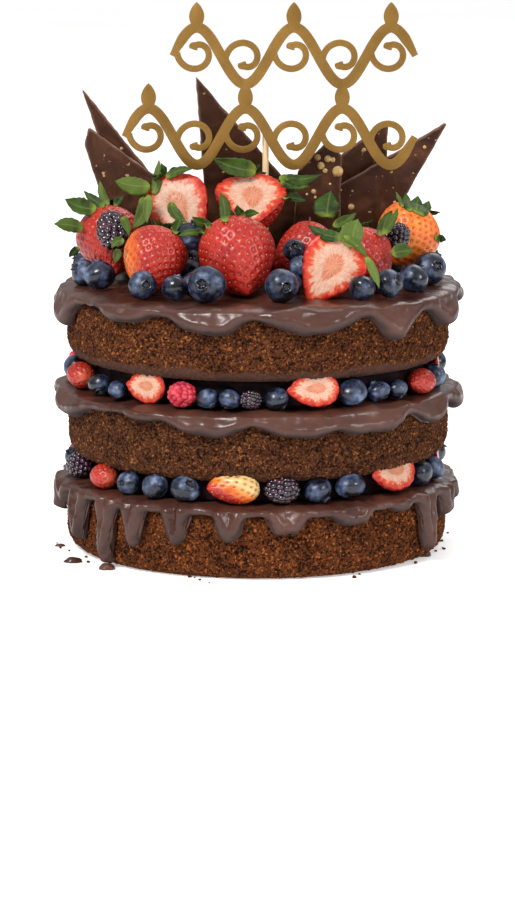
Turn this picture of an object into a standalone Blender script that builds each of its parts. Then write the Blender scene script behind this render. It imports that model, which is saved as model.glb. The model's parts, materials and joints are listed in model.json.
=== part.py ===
"""A three-tier naked chocolate cake with ganache, berries, chocolate shards and a gold topper.

Metres, +Z up. The origin is the middle of the cake's underside, the front is towards -Y and an
azimuth of 0 degrees is the front, growing towards +X. Run it in Blender 4.5.
"""

import math
import random

import bmesh
import bpy
from mathutils import Matrix, Vector, geometry
from mathutils.bvhtree import BVHTree

MM = 0.001
CLEARANCE = 0.35 * MM  # what touches in the real cake stands this far apart
RAY_STEP = 0.001 * MM

# The tiers, from the underside up.
SPONGE_RADIUS = 95 * MM
SPONGE_HEIGHTS = (32.5 * MM, 31.0 * MM, 32.0 * MM)
GANACHE_THICKNESS = 3.6 * MM
LOWER_FILLING_HEIGHT = 10.6 * MM
UPPER_FILLING_HEIGHT = 13.4 * MM
BOTTOM_EDGE_IN, BOTTOM_EDGE_UP = 8.5 * MM, 10.5 * MM
TOP_EDGE_IN, TOP_EDGE_DOWN = 3.0 * MM, 2.6 * MM
UNEVENNESS = 0.7 * MM  # how far a sponge is out of round
WOBBLES = ((3, 1.7, 0.625), (7, 2.9, 0.375))  # waves round the rim, shift from tier to tier, share
ROUNDED_EDGE = ((1.0, 0.0), (0.33, 0.25), (0.0, 1.0))  # shares of the lower edge's way in and up
SPONGE_SIDES = 36
GANACHE_GAP = 0.5 * MM  # between sponge and ganache
SKIRT_THICKNESS = 4.0 * MM
LOBE_FULLNESS = 1.45  # 1 is a wave, more makes the lobes broad and the arches between them narrow
BROAD_ARCH, DRIP_ARCH = 3.4 * MM, 4.2 * MM  # how far the ganache comes down between its lobes
LEAST_SKIRT = 1.2 * MM
ARCH_THINNESS = 0.55  # share of the skirt's thickness that its arches have
HEM_ROUNDING, HEM_SHARE, HEM_LEAST = 2.2 * MM, 0.3, 0.6 * MM  # at most, share of the drop, and added
RIM_DOWN, RIM_IN = 2.6 * MM, 3.5 * MM  # the rounding over the tier's edge
CLOSEST_AZIMUTHS, WIDEST_AZIMUTHS = 0.45, 1.6  # shares of the usual step between columns of points
CORE_RADIUS = 86.5 * MM  # the filling behind the berries that show
FILLING_BERRY_RADIUS = 90.5 * MM  # where their middles stand
CORE_SIDES = 20
CORE_GRIP = 2.4 * MM  # how deep the smallest berries reach into it
CORE_SPARE = 1 * MM  # what the core is too high by, until the berries are cut level with it
EDGE_CUT_RADIUS = SPONGE_RADIUS + UNEVENNESS + CLEARANCE  # the berries stay clear of the sponge above
EDGE_CUT_BEVEL = 4.2 * MM

# The ganache's lobes: azimuth in degrees, half width in degrees, drop below the tier's top in mm.
# The front ones are as the real cake has them. The ones round the back follow the same rhythm.
TOP_LOBES = (
    (-76, 13, 15), (-41, 13, 9.5), (-14, 14, 10.5), (16, 17, 10.8), (43, 11, 15), (68, 12, 14),
    (98, 14, 11), (126, 12, 13), (153, 14, 9), (182, 15, 12), (211, 12, 14), (238, 14, 10), (263, 11, 13),
)
MIDDLE_LOBES = (
    (-71, 15, 11), (-36, 12, 7), (-14, 15, 10.5), (14, 16, 11), (36, 15, 11.5), (61, 12, 13),
    (88, 13, 10), (117, 15, 12), (147, 13, 9), (175, 14, 13), (205, 14, 10), (233, 12, 12), (260, 13, 9),
)
BOTTOM_DRIPS = (
    (-77, 6, 12), (-64, 6, 26), (-49, 4.5, 33), (-38, 4.5, 23), (-24, 5, 20), (-8, 5.5, 17.5),
    (8, 7, 13), (28, 8, 10.5), (45, 5, 8), (58, 5, 29), (71, 5, 17), (84, 6, 12), (100, 5, 24),
    (118, 7, 14), (135, 5, 28), (152, 7, 16), (169, 5.5, 22), (187, 5, 27), (204, 7, 13),
    (221, 5.5, 20), (238, 5, 30), (254, 6, 15), (269, 5.5, 21),
)

# The berries that show between the tiers: kind, azimuth and size, 1 being the usual one. What is
# round the back goes on in RING_MIX.
LOWER_RING = (
    ("bramble", -76, 1.0), ("strawberry", -57, 0.95), ("blueberry", -43.5, 0.92), ("blueberry", -33, 0.98),
    ("blueberry", -22.5, 1.05), ("half", -8, 1.05), ("bramble", 7.5, 1.05), ("blueberry", 18.5, 1.02),
    ("blueberry", 29.5, 1.08), ("half", 46.5, 1.05), ("blueberry", 62, 1.0),
)
UPPER_RING = (
    ("strawberry", -74, 1.0), ("blueberry", -59, 0.85), ("blueberry", -50, 0.7), ("strawberry", -37, 1.05),
    ("raspberry", -23.5, 0.95), ("blueberry", -15.5, 0.8), ("blueberry", -8.5, 0.8), ("bramble", -2, 0.7),
    ("blueberry", 5.5, 0.9), ("half", 17, 1.05), ("blueberry", 30, 1.08), ("blueberry", 40.5, 0.85),
    ("blueberry", 49, 0.8), ("strawberry", 61, 0.95),
)
RING_MIX = ("blueberry", "half", "blueberry", "bramble", "blueberry", "strawberry", "blueberry", "raspberry")
RING_PITCH = {"blueberry": 10.4, "strawberry": 15.0, "half": 17.5, "bramble": 12.5, "raspberry": 11.5}
RING_SIZES = {  # half width along the rim, half height and half depth, in mm
    "blueberry": (7.0, 6.2, 6.6), "strawberry": (10.5, 6.6, 7.2), "half": (13.0, 6.8, 6.4),
    "bramble": (8.4, 6.6, 7.2), "raspberry": (7.6, 6.6, 7.0),
}

# What lies on top, in the order in which it is set down. Places and sizes are in mm, and headings in
# degrees from the front towards +X. A strawberry's tip points to its heading, below level by its pitch.
# The cut face of a halved one looks to (heading, lift). Other berries give their crown's or long axis'
# heading and lift. Rise is how far above the ganache a berry at least lies, wedged between others.
TOPPINGS = (
    # kind, name, x, y, rise, length, width, heading, pitch, cut face
    ("strawberry", "left", -70, 0, 0, 40, 34, 12, 46, None),
    ("strawberry", "front_left", -51, -43, 0, 38, 32, -20, 50, None),
    # kind, name, x, y, rise, diameter, heading, lift
    ("blueberry", "rim_01", -85.5, -14, 0, 13.5, -60, 30),
    ("blueberry", "rim_02", -77, -32, 0, 15.5, 200, 60),
    ("blueberry", "rim_03", -55, -68, 0, 14.6, 20, 10),
    ("blueberry", "rim_04", -39.5, -69, 0, 13.4, 160, 50),
    ("blueberry", "inner_01", -31, -57, 0, 12.5, 40, 30),
    ("blueberry", "rim_05", -24, -77, 0, 18.6, -18, 8),
    ("blueberry", "rim_06", 11.5, -75, 0, 16.8, 20, 2),
    ("strawberry", "centre", -9, -50, 0, 43, 40, 14, 42, None),
    ("blueberry", "rim_07", 50, -71, 0, 13.5, 140, 30),
    ("blueberry", "rim_08", 63, -61, 0, 15.0, 60, 30),
    ("blueberry", "rim_09", 76, -40, 0, 15.0, 120, 40),
    ("blueberry", "rim_10", 85, -14, 0, 16.8, 30, 15),
    ("strawberry", "cut_front", 35, -60, 0, 38, 33, -80, 48, (6, 20)),
    ("strawberry", "front_right", 54, -33, 0, 36, 28, 30, 50, None),
    ("blueberry", "under_01", -36, -3, 0, 19.0, 15, 25),
    ("blueberry", "under_02", 68, 10, 0, 15.0, 80, 35),
    ("strawberry", "under_top", -6, -4, 0, 35, 29, 100, 6, None),
    ("strawberry", "middle_right", 23, -19, 0, 36, 34, -60, 18, None),
    ("blueberry", "inner_02", 16, -52, 0, 12.0, 10, 30),
    ("blueberry", "inner_03", 21, -45, 8, 11.5, 30, 40),
    ("blueberry", "inner_05", 18, -38, 15, 11.5, 0, 35),
    ("strawberry", "cut_left", -37, -8, 0, 36, 27, 40, 68, (-4, 12)),
    ("blueberry", "inner_04", -33, -30, 0, 15.0, 15, 25),
    ("blueberry", "inner_06", 43, 0, 0, 15.0, 60, 35),
    ("blueberry", "inner_07", -56, 17, 0, 14.0, 220, 50),
    ("strawberry", "right", 73, 2, 0, 37, 33, -40, 35, None),
    # kind, name, x, y, rise, length, width, heading, lift
    ("bramble", "left", -71, -20, 0, 21, 16, 200, 55),
    ("bramble", "right", 68, -20, 13, 16, 13, 60, 50),
    ("strawberry", "cut_top", -3, -13, 0, 37, 36, 0, 40, (0, 50)),
    ("strawberry", "back_left", -35, 59, 0, 38, 33, 150, 35, None),
    ("strawberry", "back_middle", 3, 60, 0, 40, 34, 200, 40, None),
    ("strawberry", "back_right", 40, 64, 0, 38, 33, 215, 45, None),
    ("blueberry", "rim_11", 86, 26, 0, 14.2, 80, 35),
    ("blueberry", "rim_12", 76, 46, 0, 15.5, 130, 20),
    ("blueberry", "rim_13", 20, 84, 0, 15.0, 180, 15),
    ("blueberry", "rim_14", -17, 85, 0, 13.5, 190, 40),
    ("blueberry", "rim_15", -61, 65, 0, 15.0, 210, 20),
    ("blueberry", "rim_16", -70, 50, 0, 14.5, 230, 30),
    ("blueberry", "rim_17", -87, 20, 0, 13.5, 260, 35),
    ("bramble", "back", -79, 35, 0, 18, 14, 120, 10),
    ("blueberry", "back_top", -15, 62, 0, 15.0, 180, 40),
)
# Chocolate shards: name, distance behind the middle, turn about Z in degrees, corners as (x, z) in mm.
# They stand on the top ganache, and a corner at STANDS is on it.
STANDS = 0.0
SHARD_THICKNESS = 4.2 * MM
SHARD_BEVEL = 0.5 * MM
SHARDS = (
    ("shard_left_front", 27, -6, ((-85, 206), (-87, 197), (-66, STANDS), (-30, STANDS), (-28, 165))),
    ("shard_left_back", 39, -4, ((-89, 225), (-57, STANDS), (-14, STANDS))),
    ("shard_centre", 31, 5, ((-31, 231.5), (-24, STANDS), (14, STANDS), (28, 163))),
    ("shard_right_front", 20, 3, ((34, 199), (20, 185), (16, STANDS), (41, STANDS), (42, 193))),
    ("shard_right_back", 42, 6, ((66, 208), (42, 191), (38, STANDS), (64, STANDS))),
    ("shard_right", 30, 8, ((96, 208), (36, 174), (34, STANDS), (53, STANDS))),
)

# The topper: a gold card cut as two rows of vine scrolls, on a wooden stick.
STICK_X, STICK_Y = 4.0 * MM, 13 * MM
STICK_RADIUS = 1.6 * MM
STICK_SUNK = 24 * MM  # how deep it goes into the cake
STICK_TOP = 207 * MM
CARD_THICKNESS = 1.6 * MM
CARD_X = 8.0 * MM
CARD_LOW = 179 * MM
VINE_WIDTH, CURL_WIDTH = 5.2 * MM, 3.2 * MM
VINE_SWING, VINE_STRETCH = 14 * MM, 24 * MM  # height of a bend, and length of a half wave
VINE_ROWS = ((-74 * MM, 24 * MM, 6), (-50 * MM, 64 * MM, 5))  # left end, middle over CARD_LOW, half waves
VINE_STEPS, CURL_STEPS = 4, 7  # points in a half wave, and in a curl
CARD_FLAT_ANGLE, MERGE_DISTANCE = 0.002, 1e-6
HOLLOW = 12.5 * MM  # from a bend's crest to the middle of its curl
CURL_RADIUS, CURL_TURN, CURL_TIGHTENING = 9.8 * MM, 320, 0.72
CURL_START, CURL_END, STEM_END = 180, 1.5, 0.6  # its first angle, and widths at the ends as shares
CARD_LEAF_LENGTH, CARD_LEAF_WIDTH = 12.5 * MM, 7.5 * MM
CARD_LEAF_SHAPE = ((0, 0.2), (0.55, 0.5), (1, 0.05))  # along it, and half width, as shares

CUT_PLANE = -0.04  # a halved strawberry's cut, in its widths past its axis
STRAWBERRY_FULLNESS = 0.75  # moves its widest place towards the calyx and rounds its shoulders
BLUEBERRY_FLATNESS, BLUEBERRY_CROWN = 0.88, 0.66  # half height, and the crown's floor, in its radii
DRUPELET_OUT, DRUPELET_IN, DRUPE_POLE = 1.07, 0.9, 0.46  # shares of the width, and of the length
NEARLY_UP = (0.13, -0.2, 0.97)  # a way to look that no berry's axis takes
CALYX_LEAVES = 4
WITHOUT_LEAVES = ("strawberry_under_top",)
LEAF_LENGTH, LEAF_WIDTH, LEAF_THICKNESS = 13 * MM, 6.5 * MM, 0.9 * MM
LEAF_SEAT = 0.9 * MM  # how deep its root sits in the berry
LEAF_STAGGER = 0.13 * MM  # how much deeper each next leaf starts
LEAF_SWAY = 7  # degrees by which it may be off its even place
LEAF_STATIONS = ((0.0, 0.05), (0.58, 0.46), (1.0, 0.0))  # along it, and half width, as shares
LEAF_CUP, LEAF_WAVE = 0.10, 2.6  # how far its edges rise over its rib, and how fast
HALVED_CALYX = (195, 345)  # where a halved strawberry has no leaves, in degrees round its calyx
LEAF_TRIES = ((1, 0.5, 0.25), (1, 0.95, 0.1), (0.8, 1.2, -0.2), (0.6, 1.5, -0.5))  # share, bend, droop
SEED = 7


def clear_scene():
    """Removes what the startup file holds."""
    for found in list(bpy.data.objects):
        bpy.data.objects.remove(found)


def finish(name, colour, roughness, metallic=0.0):
    """A material, made once for each name."""
    found = bpy.data.materials.get(name)
    if found:
        return found
    made = bpy.data.materials.new(name)
    made.use_nodes = True
    shader = made.node_tree.nodes["Principled BSDF"]
    shader.inputs["Base Color"].default_value = (*colour, 1.0)
    shader.inputs["Roughness"].default_value = roughness
    shader.inputs["Metallic"].default_value = metallic
    return made


SPONGE = ("chocolate sponge", (0.13, 0.055, 0.022), 0.95)
GANACHE = ("ganache", (0.085, 0.045, 0.035), 0.38)
RED = ("strawberry red", (0.62, 0.045, 0.02), 0.35)
BLUE = ("blueberry blue", (0.025, 0.04, 0.09), 0.5)
BLACK = ("bramble black", (0.03, 0.012, 0.025), 0.3)
CHOCOLATE = ("dark chocolate", (0.07, 0.025, 0.014), 0.4)
GOLD = ("gold card", (0.42, 0.26, 0.06), 0.35, 0.6)
WOOD = ("pale wood", (0.68, 0.52, 0.3), 0.7)


def object_from(name, bm, look):
    """Ends a bmesh as a named object with its material, its faces pointing out."""
    mesh = bpy.data.meshes.new(name)
    bmesh.ops.recalc_face_normals(bm, faces=bm.faces)
    bm.to_mesh(mesh)
    bm.free()
    made = bpy.data.objects.new(name, mesh)
    bpy.context.scene.collection.objects.link(made)
    mesh.materials.append(finish(*look))
    return made


def smooth(part, degrees=40):
    part.data.shade_smooth()
    part.data.set_sharp_from_angle(angle=math.radians(degrees))
    return part


def direction(heading, lift):
    """A unit vector by azimuth from the front and angle above level, in degrees."""
    a, e = math.radians(heading), math.radians(lift)
    return Vector((math.cos(e) * math.sin(a), -math.cos(e) * math.cos(a), math.sin(e)))


def turned(azimuths, profile):
    """A closed solid turned about Z. profile(azimuth) gives (radius, height) from pole to pole."""
    bm = bmesh.new()
    columns = []
    for azimuth in azimuths:
        out = direction(azimuth, 0)
        columns.append([out * r + Vector((0, 0, z)) for r, z in profile(azimuth)])
    south, north = bm.verts.new(columns[0][0]), bm.verts.new(columns[0][-1])
    rows = [[bm.verts.new(p) for p in column[1:-1]] for column in columns]
    for here, there in zip(rows, rows[1:] + rows[:1]):
        bm.faces.new((south, there[0], here[0]))
        for j in range(len(here) - 1):
            bm.faces.new((here[j], there[j], there[j + 1], here[j + 1]))
        bm.faces.new((here[-1], there[-1], north))
    return bm


def even_azimuths(count):
    return [360 * i / count - 180 for i in range(count)]


def apply_modifiers(part):
    """Leaves the part's mesh as its modifiers shape it."""
    graph = bpy.context.evaluated_depsgraph_get()
    part.data = bpy.data.meshes.new_from_object(part.evaluated_get(graph))
    part.modifiers.clear()


def boolean(part, operation, others):
    """Joins the others to the part, or cuts them from it, and removes them."""
    group = bpy.data.collections.new("operands")
    bpy.context.scene.collection.children.link(group)
    for other in others:
        bpy.context.scene.collection.objects.unlink(other)
        group.objects.link(other)
    step = part.modifiers.new("join or cut", "BOOLEAN")
    step.operation, step.operand_type, step.solver = operation, "COLLECTION", "EXACT"
    step.collection = group
    bpy.context.view_layer.update()
    apply_modifiers(part)
    for other in others:
        bpy.data.objects.remove(other)
    bpy.data.collections.remove(group)


# The tiers.


def sponge_radius(azimuth, tier):
    """The sponge's radius, a little out of round, differently in each tier."""
    a = math.radians(azimuth)
    wobble = sum(share * math.sin(waves * a + shift * tier) for waves, shift, share in WOBBLES)
    return SPONGE_RADIUS + UNEVENNESS * wobble


def tier_levels():
    """(underside, top) of each sponge."""
    levels, z = [], 0.0
    fillings = (LOWER_FILLING_HEIGHT, UPPER_FILLING_HEIGHT, 0.0)
    for height, filling in zip(SPONGE_HEIGHTS, fillings):
        levels.append((z, z + height))
        z += height + GANACHE_GAP + GANACHE_THICKNESS + filling
    return levels


LEVELS = tier_levels()
GANACHE_TOPS = [top + GANACHE_GAP + GANACHE_THICKNESS for _, top in LEVELS]
CAKE_TOP = GANACHE_TOPS[-1]


def sponge(name, tier):
    """One sponge: a disc with a rounded lower edge."""
    low, high = LEVELS[tier]

    def profile(azimuth):
        r = sponge_radius(azimuth, tier)
        rounded = [(r - BOTTOM_EDGE_IN * x, low + BOTTOM_EDGE_UP * z) for x, z in ROUNDED_EDGE]
        shoulder = [(r, high - TOP_EDGE_DOWN), (r - TOP_EDGE_IN, high)]
        return [(0, low), *rounded, *shoulder, (0, high)]

    return smooth(object_from(name, turned(even_azimuths(SPONGE_SIDES), profile), SPONGE), 50)


def lobe_at(azimuth, lobes, arch):
    """(drop in metres, share of a full lobe from 0 to 1) of the ganache's edge at this azimuth."""
    drop, share = arch, 0.0
    for centre, half_width, depth in lobes:
        off = abs((azimuth - centre + 180) % 360 - 180) / half_width
        if off < 1:
            t = min(1, LOBE_FULLNESS * (1 - off))
            bump = t * t * (3 - 2 * t)
            if arch + (depth * MM - arch) * bump > drop:
                drop, share = arch + (depth * MM - arch) * bump, bump
    return drop, share


def lobe_azimuths(lobes, steps, between):
    """Azimuths close together in each lobe, and at least every so many degrees elsewhere."""
    found = {round(c + w * s, 2) for c, w, _ in lobes for s in steps}
    found = sorted((a + 180) % 360 - 180 for a in found)
    kept = [found[0]]
    for a in found[1:]:
        if a - kept[-1] >= CLOSEST_AZIMUTHS * between:
            while a - kept[-1] > WIDEST_AZIMUTHS * between:
                kept.append(kept[-1] + between)
            kept.append(a)
    return kept


def ganache(name, tier, lobes, arch, steps, between, bulge):
    """The ganache on a tier: a sheet over the sponge that folds down over its edge in lobes."""
    sponge_top = LEVELS[tier][1]
    underside, top = sponge_top + GANACHE_GAP, GANACHE_TOPS[tier]

    def profile(azimuth):
        r = sponge_radius(azimuth, tier) + GANACHE_GAP
        drop, share = lobe_at(azimuth, lobes, arch)
        hem = max(top - drop, LEAST_SKIRT)
        thick = SKIRT_THICKNESS * (ARCH_THINNESS + (1 - ARCH_THINNESS) * share) + bulge * share
        lip = min(HEM_ROUNDING, HEM_SHARE * (top - hem) + HEM_LEAST)
        inner = [
            (0, underside),
            (r, underside),
            (r, min(hem + 0.6 * lip, underside - LEAST_SKIRT)),
        ]
        outer = [
            (r + 0.55 * thick, hem),
            (r + thick, hem + lip),
            (r + 0.8 * thick, top - RIM_DOWN),
            (r - RIM_IN, top),
            (0, top),
        ]
        return inner + outer

    azimuths = lobe_azimuths(lobes, steps, between)
    return smooth(object_from(name, turned(azimuths, profile), GANACHE), 60)


# The berries. Each is made about the origin and then placed.


def strawberry_radius(s, width):
    """The radius at s, from 0 at the calyx to 1 at the tip."""
    return 0.5 * width * math.sin(math.pi * s**STRAWBERRY_FULLNESS) ** STRAWBERRY_FULLNESS


BODY_STATIONS = (1.0, 0.93, 0.76, 0.52, 0.28, 0.07, 0.0)
RING_STATIONS = (1.0, 0.88, 0.55, 0.2, 0.0)


def strawberry_body(name, length, width, cut, sides=9, stations=BODY_STATIONS):
    """A strawberry along Z with its tip down. A halved one keeps what is at +Y of its axis."""

    def profile(_azimuth):
        return [(strawberry_radius(s, width), length * (0.5 - s)) for s in stations]

    bm = turned(even_azimuths(sides), profile)
    if cut:
        everything = bm.verts[:] + bm.edges[:] + bm.faces[:]
        place = (0, CUT_PLANE * width, 0)
        cuts = bmesh.ops.bisect_plane(
            bm, geom=everything, plane_co=place, plane_no=(0, -1, 0), clear_outer=True
        )
        rim = [e for e in cuts["geom_cut"] if isinstance(e, bmesh.types.BMEdge)]
        bmesh.ops.contextual_create(bm, geom=rim)
    return smooth(object_from(name, bm, RED), 50)


def blueberry_body(name, diameter, sides=7, rings=5):
    """A flattened ball along Z with the crown's dimple on top."""
    r = 0.5 * diameter

    def profile(_azimuth):
        points = []
        for i in range(rings + 1):
            a = math.pi * (i / rings - 0.5)
            points.append((r * math.cos(a), BLUEBERRY_FLATNESS * r * math.sin(a)))
        points[-1] = (0, BLUEBERRY_CROWN * r)
        return points

    return smooth(object_from(name, turned(even_azimuths(sides), profile), BLUE), 60)


def drupe_body(name, length, width, look=BLACK, sides=10, rings=7):
    """A bramble or raspberry along Z: its vertices stand in and out by turns, as drupelets do."""
    bm = bmesh.new()
    rows = []
    for j in range(1, rings):
        a = math.pi * (j / rings - 0.5)
        row = []
        for i in range(sides):
            bump = DRUPELET_OUT if (i + j) % 2 else DRUPELET_IN
            p = direction(360 * i / sides, math.degrees(a))
            row.append(bm.verts.new((bump * p.x * width / 2, bump * p.y * width / 2, p.z * length / 2)))
        rows.append(row)
    south = bm.verts.new((0, 0, -DRUPE_POLE * length))
    north = bm.verts.new((0, 0, DRUPE_POLE * length))
    for i in range(sides):
        k = (i + 1) % sides
        bm.faces.new((south, rows[0][k], rows[0][i]))
        bm.faces.new((north, rows[-1][i], rows[-1][k]))
        for low, high in zip(rows, rows[1:]):
            bm.faces.new((low[i], low[k], high[k], high[i]))
    return smooth(object_from(name, bm, look), 30)


def turn_to(axis, face=None):
    """The rotation that takes Z to axis and, if a face is given, -Y as near to face as it can."""
    z = axis.normalized()
    y = -(face or Vector(NEARLY_UP))
    y = (y - z * y.dot(z)).normalized()
    x = y.cross(z)
    return Matrix((x, y, z)).transposed().to_4x4()


def tree_of(part):
    points = [v.co for v in part.data.vertices]
    return BVHTree.FromPolygons(points, [p.vertices[:] for p in part.data.polygons])


def inside(point, tree):
    """Whether a ray from the point leaves the closed surface an odd number of times."""
    up, crossings = Vector((0, 0, 1)), 0
    hit = tree.ray_cast(point, up)[0]
    while hit is not None:
        crossings += 1
        hit = tree.ray_cast(hit + up * RAY_STEP, up)[0]
    return crossings % 2 == 1


def meets(part, placed):
    """Whether the part crosses, or lies inside, anything that is there already."""
    own = tree_of(part)
    points = [v.co for v in part.data.vertices]
    middle = sum(points, Vector()) / len(points)
    return any(own.overlap(tree) or inside(middle, tree) for tree in placed)


def settle(part, x, y, rise, rotation, placed):
    """Sets a part down at (x, y) in mm, at the lowest height where it is clear. Returns its place."""
    part.data.transform(rotation)
    low = min(v.co.z for v in part.data.vertices)
    spot = Vector((x * MM, y * MM, CAKE_TOP + CLEARANCE + rise * MM - low))
    part.data.transform(Matrix.Translation(spot))
    lift = Vector((0, 0, CLEARANCE))
    raised = False
    while meets(part, placed):
        part.data.transform(Matrix.Translation(lift))
        spot += lift
        raised = True
    if raised:
        part.data.transform(Matrix.Translation(lift))
        spot += lift
    keep(part, placed)
    return Matrix.Translation(spot) @ rotation


def keep(part, placed):
    placed.append(tree_of(part))


# The calyx leaves.


def leaf(name, length, width, curl, droop):
    """A thin wavy leaf along +X from the origin. Both faces have the same triangles."""
    bm = bmesh.new()
    faces = []
    for side in (0.5, -0.5):
        rows = []
        for s, half in LEAF_STATIONS:
            x, z = length * s, length * (curl * s * s - droop * s)
            edge = z + LEAF_CUP * length * math.sin(LEAF_WAVE * s)
            lift = Vector((0, 0, side * LEAF_THICKNESS))
            if half:
                row = [Vector((x, h * width, z if h == 0 else edge)) for h in (-half, 0, half)]
            else:
                row = [Vector((x, 0, z))]
            rows.append([bm.verts.new(p + lift) for p in row])
        faces.append(rows)
        for here, there in zip(rows, rows[1:]):
            if len(there) == 3:
                for i in (0, 1):
                    a, b, c, d = here[i], here[i + 1], there[i + 1], there[i]
                    bm.faces.new((a, b, c))
                    bm.faces.new((a, c, d))
            else:
                bm.faces.new((here[0], here[1], there[0]))
                bm.faces.new((here[1], here[2], there[0]))
    upper, lower = faces
    rim_up = [row[0] for row in upper] + [row[-1] for row in upper[-2::-1]] + [upper[0][1]]
    rim_low = [row[0] for row in lower] + [row[-1] for row in lower[-2::-1]] + [lower[0][1]]
    for i in range(len(rim_up)):
        k = (i + 1) % len(rim_up)
        bm.faces.new((rim_up[i], rim_up[k], rim_low[k], rim_low[i]))
    return object_from(name, bm, ("leaf green", (0.06, 0.16, 0.03), 0.5))


def add_calyx(body, at, length, cut, placed, own, rng):
    """Fuses on the leaves that find room at the strawberry's calyx end, each as long as it can be."""
    leaves = []
    start = 360 * rng.random()
    for i in range(CALYX_LEAVES):
        around = start + 360 * i / CALYX_LEAVES + LEAF_SWAY * rng.uniform(-1, 1)
        if cut and HALVED_CALYX[0] < around % 360 < HALVED_CALYX[1]:
            continue
        for share, bend, droop in LEAF_TRIES:
            made = leaf("leaf", LEAF_LENGTH * share, LEAF_WIDTH * share**0.5, bend, droop)
            seat = Matrix.Translation((0, 0, 0.5 * length - LEAF_SEAT - LEAF_STAGGER * i))
            made.data.transform(at @ seat @ Matrix.Rotation(math.radians(around), 4, "Z"))
            if not meets(made, placed[:own] + placed[own + 1 :]):
                leaves.append(made)
                break
            bpy.data.objects.remove(made)
    for made in leaves:
        keep(made, placed)
    if leaves:
        boolean(body, "UNION", leaves)


# The fillings.


def ring_of(front):
    """The berries of a filling: the front ones as given, and the rest round the back in RING_MIX."""
    ring = list(front)
    last, azimuth, _ = front[-1]
    for i in range(360):
        kind = RING_MIX[i % len(RING_MIX)]
        azimuth += 0.5 * (RING_PITCH[last] + RING_PITCH[kind])
        if azimuth > front[0][1] + 360 - 0.5 * (RING_PITCH[kind] + RING_PITCH[front[0][0]]):
            break
        ring.append((kind, azimuth, 1.0))
        last = kind
    return ring


def ring_berry(kind, size, azimuth, foot):
    """One berry of a filling, with its foot at this height and its back in the core."""
    wide, tall, deep = (size * half * MM for half in RING_SIZES[kind])
    if kind in ("bramble", "raspberry"):
        berry = drupe_body("ring berry", 2, 2, sides=8, rings=4)
    elif kind == "blueberry":
        berry = blueberry_body("ring berry", 2, sides=6, rings=4)
    else:
        berry = strawberry_body("ring berry", 2, 2, kind == "half", sides=6, stations=RING_STATIONS)
        berry.data.transform(Matrix.Rotation(math.radians(90), 4, "Y"))
    berry.data.transform(Matrix.Diagonal((wide, deep, tall, 1)))
    out = min(FILLING_BERRY_RADIUS, CORE_RADIUS - CORE_GRIP + deep)
    spot = direction(azimuth, 0) * out + Vector((0, 0, foot + tall))
    berry.data.transform(Matrix.Translation(spot) @ Matrix.Rotation(math.radians(azimuth), 4, "Z"))
    return berry


def filling(name, tier, front, look):
    """A layer of berries: a hidden core with the berries that show fused on round its edge."""
    low = GANACHE_TOPS[tier] + CLEARANCE
    high = LEVELS[tier + 1][0] - CLEARANCE

    def disc(_azimuth):
        above = high + CORE_SPARE
        return [(0, low), (CORE_RADIUS, low), (CORE_RADIUS, above), (0, above)]

    def sponge_above(_azimuth):
        edge = EDGE_CUT_RADIUS / math.cos(math.pi / CORE_SIDES)
        middle, above = high + EDGE_CUT_BEVEL, high + 3 * EDGE_CUT_BEVEL
        return [(0, high), (edge - EDGE_CUT_BEVEL, high), (edge, middle), (edge, above), (0, above)]

    core = object_from(name, turned(even_azimuths(CORE_SIDES), disc), look)
    boolean(core, "UNION", [ring_berry(kind, size, azimuth, low) for kind, azimuth, size in ring_of(front)])
    cutter = object_from("cutter", turned(even_azimuths(CORE_SIDES), sponge_above), look)
    boolean(core, "DIFFERENCE", [cutter])
    return smooth(core, 40)


# The shards and the topper.


def prism(name, corners, thickness, look):
    """A flat plate in the XZ plane from its corners, as thick as given along Y."""
    bm = bmesh.new()
    front = bm.faces.new([bm.verts.new((x, -0.5 * thickness, z)) for x, z in corners])
    pushed = bmesh.ops.extrude_face_region(bm, geom=[front])
    back = [v for v in pushed["geom"] if isinstance(v, bmesh.types.BMVert)]
    bmesh.ops.translate(bm, vec=(0, thickness, 0), verts=back)
    return object_from(name, bm, look)


def shard(name, behind, turn, corners):
    foot = CAKE_TOP + CLEARANCE
    outline = [(x * MM, foot if z == STANDS else z * MM) for x, z in corners]
    middle = sum(x for x, _ in outline) / len(outline)
    plate = prism(name, [(x - middle, z) for x, z in outline], SHARD_THICKNESS, CHOCOLATE)
    spot = Matrix.Translation((middle, behind * MM, 0))
    plate.data.transform(spot @ Matrix.Rotation(math.radians(turn), 4, "Z"))
    edge = plate.modifiers.new("edge", "BEVEL")
    edge.width, edge.segments, edge.limit_method = SHARD_BEVEL, 1, "ANGLE"
    apply_modifiers(plate)
    return plate


def ribbon(points, widths):
    """The outline of a stroke that follows the points, as wide as given at each."""
    left, right = [], []
    for i, p in enumerate(points):
        ahead = points[min(i + 1, len(points) - 1)] - points[max(i - 1, 0)]
        side = Vector((-ahead.y, ahead.x)).normalized() * 0.5 * widths[i]
        left.append(p + side)
        right.append(p - side)
    return right + left[::-1]


def curl(middle, crest):
    """A scroll in the hollow of a bend: it leaves the vine's rising leg and winds up, ever tighter."""
    points, widths = [], []
    for i in range(CURL_STEPS + 1):
        angle = math.radians(CURL_START + CURL_TURN * i / CURL_STEPS)
        radius = CURL_RADIUS * (1 - CURL_TIGHTENING * i / CURL_STEPS)
        points.append(middle + radius * Vector((math.cos(angle), crest * math.sin(angle))))
        widths.append(CURL_WIDTH * (1.0 if i < CURL_STEPS else CURL_END))
    return ribbon(points, widths)


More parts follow.
